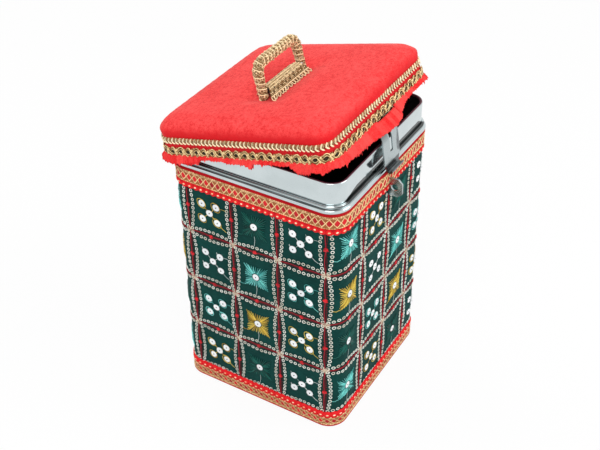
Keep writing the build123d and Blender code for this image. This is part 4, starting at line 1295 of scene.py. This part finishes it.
def handle_winding():
    """Gold lace wound round the handle: a cord, beaded rows and a zigzag between them."""
    core, strands = Sewing(), Sewing()
    total = handle_route()[0][-1]
    turns = total / WIND_PITCH
    # the core is the lace's ground, darkened as painted shade between the beads
    core.grid(places(np.linspace(0, total, 260)[:, None], circle(24), WIND_CORE), False, True, 0.3)
    shift, radius, thick, light = WIND_CORD
    turn = np.arange(-1, turns, 1 / 16)
    sway = np.array([rng.uniform(-0.24, 0.24) for _ in turn])
    at = (turn + shift) * WIND_PITCH + sway
    helix(strands, at, 2 * math.pi * turn, radius + 0.8 * sway, thick, light)
    for shift, size, radius, light in WIND_BEADS:
        for i in range(-WIND_COUNT, int(turns * WIND_COUNT)):
            turn = (i + 0.5) / WIND_COUNT
            at = (turn + shift) * WIND_PITCH + rng.uniform(-0.25, 0.25)
            if 0.3 < at < total - 0.3:
                out = radius + rng.uniform(-0.2, 0.15)
                angle = 2 * math.pi * turn + rng.uniform(-0.1, 0.1)
                half = size * rng.uniform(0.75, 1.2)
                bead_on_handle(strands, at, angle, out, half, light + rng.uniform(-0.35, 0.2))
    shift, radius, thick, light = WIND_ZIGZAG
    turn = np.arange(-1, turns, 1 / WIND_COUNT)
    sway = np.array([0.55 * (-1) ** i + rng.uniform(-0.25, 0.25) for i in range(len(turn))])
    at = (turn + shift) * WIND_PITCH + sway
    helix(strands, at, 2 * math.pi * turn, radius + 0.1 * sway, thick, light)
    body = core.piece("handle_winding_core", "wrap_shade", "lid", "gold", along_handle)
    strands.piece("handle_winding", "wrap", "lid", "gold")
    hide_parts("handle_wrap")


RIBBON_HALF = 16.3
RIBBON_FLARE = (7.6, 1.2)       # how much longer its lower edges are, left and right
# section across the saddle, as (y, z)
RIBBON_DRAPE = (
    (-7.4, 186.0), (-6.6, 186.7), (-5.8, 187.5), (-4.0, 189.0), (-2.4, 189.95), (-0.8, 190.3),
    (1.8, 190.35), (3.2, 189.9), (4.8, 188.7), (6.4, 186.9), (7.4, SEAT_Z + 0.5),
)
# cords of beads along the crest, as (y, z, tint)
RIBBON_CREST = (
    (1.0, 190.65, 0.5), (0.1, 190.7, 0.9), (-0.8, 190.65, 0.2), (-1.6, 190.5, 0.8),
    (-2.4, 190.25, 0.35), (-3.1, 189.8, 0.9),
)
# rows of beads down each slope, as (off the middle, z, size, tint)
RIBBON_SLOPE = (
    (3.8, 189.45, 0.42, 0.7), (4.5, 188.9, 0.40, 0.2), (5.2, 188.25, 0.40, 0.6), (5.9, 187.65, 0.38, 0.3),
)
CREST_BEADS = 27
SLOPE_BEADS = 26
RIBBON_SPOTS = 18
RIBBON_PICOTS = 14


def ribbon_place(share, dy, z):
    """Place on the ribbon; share runs from 0 at its left end to 1 at its right."""
    open_out = np.clip((-dy - 2) / 6, 0, 1)
    left = -RIBBON_HALF - RIBBON_FLARE[0] * open_out
    right = RIBBON_HALF + RIBBON_FLARE[1] * open_out
    return places(HANDLE_X + left + (right - left) * share, HANDLE_Y + dy, z)


def picots(sewing, side, low):
    """Loops of thread along one lower edge of the ribbon."""
    for i in range(RIBBON_PICOTS):
        at = (i + 0.5) / RIBBON_PICOTS + rng.uniform(-0.01, 0.01)
        sway = rng.uniform(-0.02, 0.02)
        tint = rng.uniform(0.5, 1.0)
        tip = ribbon_place(at + sway, side * (low + rng.uniform(-0.6, 0.3)), SEAT_Z + 0.55)
        for lean in (-1, 1):
            root = ribbon_place(at + lean * 0.027, side * 6.8, 186.8)
            belly = ribbon_place(at + lean * 0.026 + sway, side * (low - 0.7), 185.8)
            sewing.tube([root, belly, tip], [0.28, 0.30, 0.34], 5, tint)


def ribbon():
    """Gold ribbon over the saddle: fine cords at the crest, beaded slopes and picot edges."""
    base, beads, spots = Sewing(), Sewing(), Sewing()
    span = np.linspace(0, 1, 90)
    rows = [ribbon_place(span, y, z + 0.05 * np.sin(span * 80 + y)) for y, z in RIBBON_DRAPE]
    base.grid(np.stack(rows, 1), tint=0.2)
    for row, (y, z, light) in enumerate(RIBBON_CREST):
        for i in range(CREST_BEADS):
            place = ribbon_place((i + 0.25 + 0.5 * (row % 2)) / (CREST_BEADS + 0.2), y, z)
            lean = rng.uniform(-0.3, 0.3)
            beads.bead(place, (0.62, 0.42, 0.42), lean, 6, 4, light + rng.uniform(-0.4, 0.3))
    span = np.linspace(0, 1, 70)
    for side, low in ((-1, 8.8), (1, 7.9)):
        beads.tube(ribbon_place(span, side * 6.6, 187.1 + 0.05 * np.sin(span * 90)), 0.30, 6, 0.9)
        for row, (y, z, size, light) in enumerate(RIBBON_SLOPE):
            for i in range(SLOPE_BEADS):
                place = ribbon_place((i + 0.5 + 0.5 * (row % 2)) / (SLOPE_BEADS + 0.5), side * y, z)
                lean = rng.uniform(-0.8, 0.8)
                beads.bead(place, (0.56, size, size), lean, 6, 4, light + rng.uniform(-0.3, 0.3))
        for i in range(RIBBON_SPOTS):
            odd = i % 2
            share = (i + 0.5 * odd + 0.3) / RIBBON_SPOTS
            place = ribbon_place(share, side * (4.1 + 1.3 * odd), 189.45 - 1.1 * odd)
            spots.bead(place, (0.62, 0.46, 0.48), 0.4, 6, 4)
        picots(beads, side, low)
    # the base is the ribbon's ground in the handle's darker gold, partly painted shade between its beads
    under = thicken(base.piece("ribbon_base", "wrap_shade", "lid", "gold", ajar), 0.4, -1)
    over = beads.piece("ribbon_beading", "wrap", "lid", "gold", ajar)
    dark = spots.piece("ribbon_spots", "chain_shade", "lid", "gold", ajar)
    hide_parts("handle_ribbon")


# ------------------------------------------------------------------ finishes of the steel pieces
CAD_FINISHES = {
    "wall": ["tin_wall", "tin_base"],
    "neck": ["neck_collar"],
    "steel": [
        "lid_pan", "hinge_body_leaf", "hinge_body_rivets", "hinge_pin", "hinge_lid_leaf",
        "hinge_lid_rivets", "handle_loop", "handle_saddle", "handle_screws", "handle_nuts",
    ],
    "hasp": ["staple", "staple_rivets", "hasp_bracket", "hasp_bracket_rivets", "hasp_pin", "hasp_strap"],
}


def finish_cad_nodes():
    """Gives the steel pieces their finishes."""
    for finish, nodes in CAD_FINISHES.items():
        for node in nodes:
            frame["nodes"][node].data.materials.clear()
            frame["nodes"][node].data.materials.append(MATERIALS[finish])


# ------------------------------------------------------------------ studio, in metres
FLOOR_HALF = 3.0
MIRRORED_WHITE = 0.92           # share of the floor's white that the camera and mirrors see
WORLD_LIGHT = 0.62


def seen_or_mirrored(nodes):
    """1 for what the camera or a mirror sees, and 0 for light."""
    seen = nodes.node("ShaderNodeLightPath", out="Is Camera Ray")
    return seen.math("MAXIMUM", seen.beside("Is Glossy Ray"))


def floor():
    """Large pale floor; it keeps a soft shadow."""
    mesh = bpy.data.meshes.new("studio_floor")
    corners = [(x * FLOOR_HALF, y * FLOOR_HALF, 0) for x, y in ((-1, -1), (1, -1), (1, 1), (-1, 1))]
    mesh.from_pydata(corners, [], [(0, 1, 2, 3)])
    f = Finish("studio_floor")
    share = seen_or_mirrored(f) * MIRRORED_WHITE
    white = f.node("ShaderNodeEmission", None, {"Color": (1.0, 1.0, 1.0), "Strength": 1.0})
    matt = f.node("ShaderNodeBsdfDiffuse", None, {"Color": (0.86, 0.86, 0.86)})
    mesh.materials.append(f.shaded(f.node("ShaderNodeMixShader", None, [share, matt, white])))
    placed("studio_floor", mesh)


def lamp(name, place, size, power):
    """Round lamp that points at the middle of the tin."""
    data = bpy.data.lights.new(name, "AREA")
    data.shape = "DISK"
    data.size = size
    data.energy = power
    made = placed(name, data)
    made.location = place
    made.rotation_mode = "QUATERNION"
    aim = Vector((0, 0, 0.1)) - Vector(place)
    made.rotation_quaternion = aim.to_track_quat("-Z", "Y")


def studio_world():
    """White where the camera or a mirror sees it, and plain soft light elsewhere."""
    world = bpy.data.worlds.new("studio")
    bpy.context.scene.world = world
    nodes = Nodes(world)
    levels = {"Value": seen_or_mirrored(nodes), "To Min": WORLD_LIGHT, "To Max": 1.0}
    strength = nodes.node("ShaderNodeMapRange", None, levels)
    sockets = {"Color": (1.0, 1.0, 1.0), "Strength": strength}
    nodes.end("ShaderNodeOutputWorld", nodes.node("ShaderNodeBackground", None, sockets))


CAMERA_AZIMUTH = -58.892
CAMERA_ELEVATION = 36.861
CAMERA_ROLL = -0.606
CAMERA_DISTANCE = 0.65374
CAMERA_TARGET = (0.01187, 0.00936, 0.09037)
CAMERA_LENS = 62.0


def camera():
    """Camera that looks down on the corner between the front and the left side."""
    a, e = math.radians(CAMERA_AZIMUTH), math.radians(CAMERA_ELEVATION)
    back = Vector((math.sin(a) * math.cos(e), -math.cos(a) * math.cos(e), math.sin(e)))
    data = bpy.data.cameras.new("camera")
    data.lens = CAMERA_LENS
    data.sensor_width = 36.0
    data.clip_start = 0.01
    data.clip_end = 20
    made = placed("camera", data)
    made.location = Vector(CAMERA_TARGET) + back * CAMERA_DISTANCE
    made.rotation_mode = "QUATERNION"
    roll = Quaternion((0, 0, 1), math.radians(CAMERA_ROLL))
    made.rotation_quaternion = back.to_track_quat("Z", "Y") @ roll
    bpy.context.scene.camera = made


# ------------------------------------------------------------------ making
camera()
studio_world()
floor()
lamp("key", (-0.75, -0.3, 1.2), 0.8, 7.6)
lamp("front", (0.35, -1.05, 0.75), 0.8, 5.5)
lamp("back", (0.1, 0.8, 1.1), 0.7, 3)
bpy.context.scene.view_settings.view_transform = "Standard"

finish_cad_nodes()
fabric_wrap()
embroidered_grid()
embroidered_motifs()
lace("top_lace_band", "top_lace", TOP_LACE_LOW, BODY_TOP - TOP_LACE_LOW, False, 4.2, over_staple)
foot_height = BOTTOM_LACE_HIGH - BOTTOM_LACE_LOW
lace("bottom_lace_band", "bottom_lace", BOTTOM_LACE_LOW, foot_height, True, 6.1, foot_lace)
velvet_pad()
braid()
tape()
chain()
fringe()
handle_winding()
ribbon()
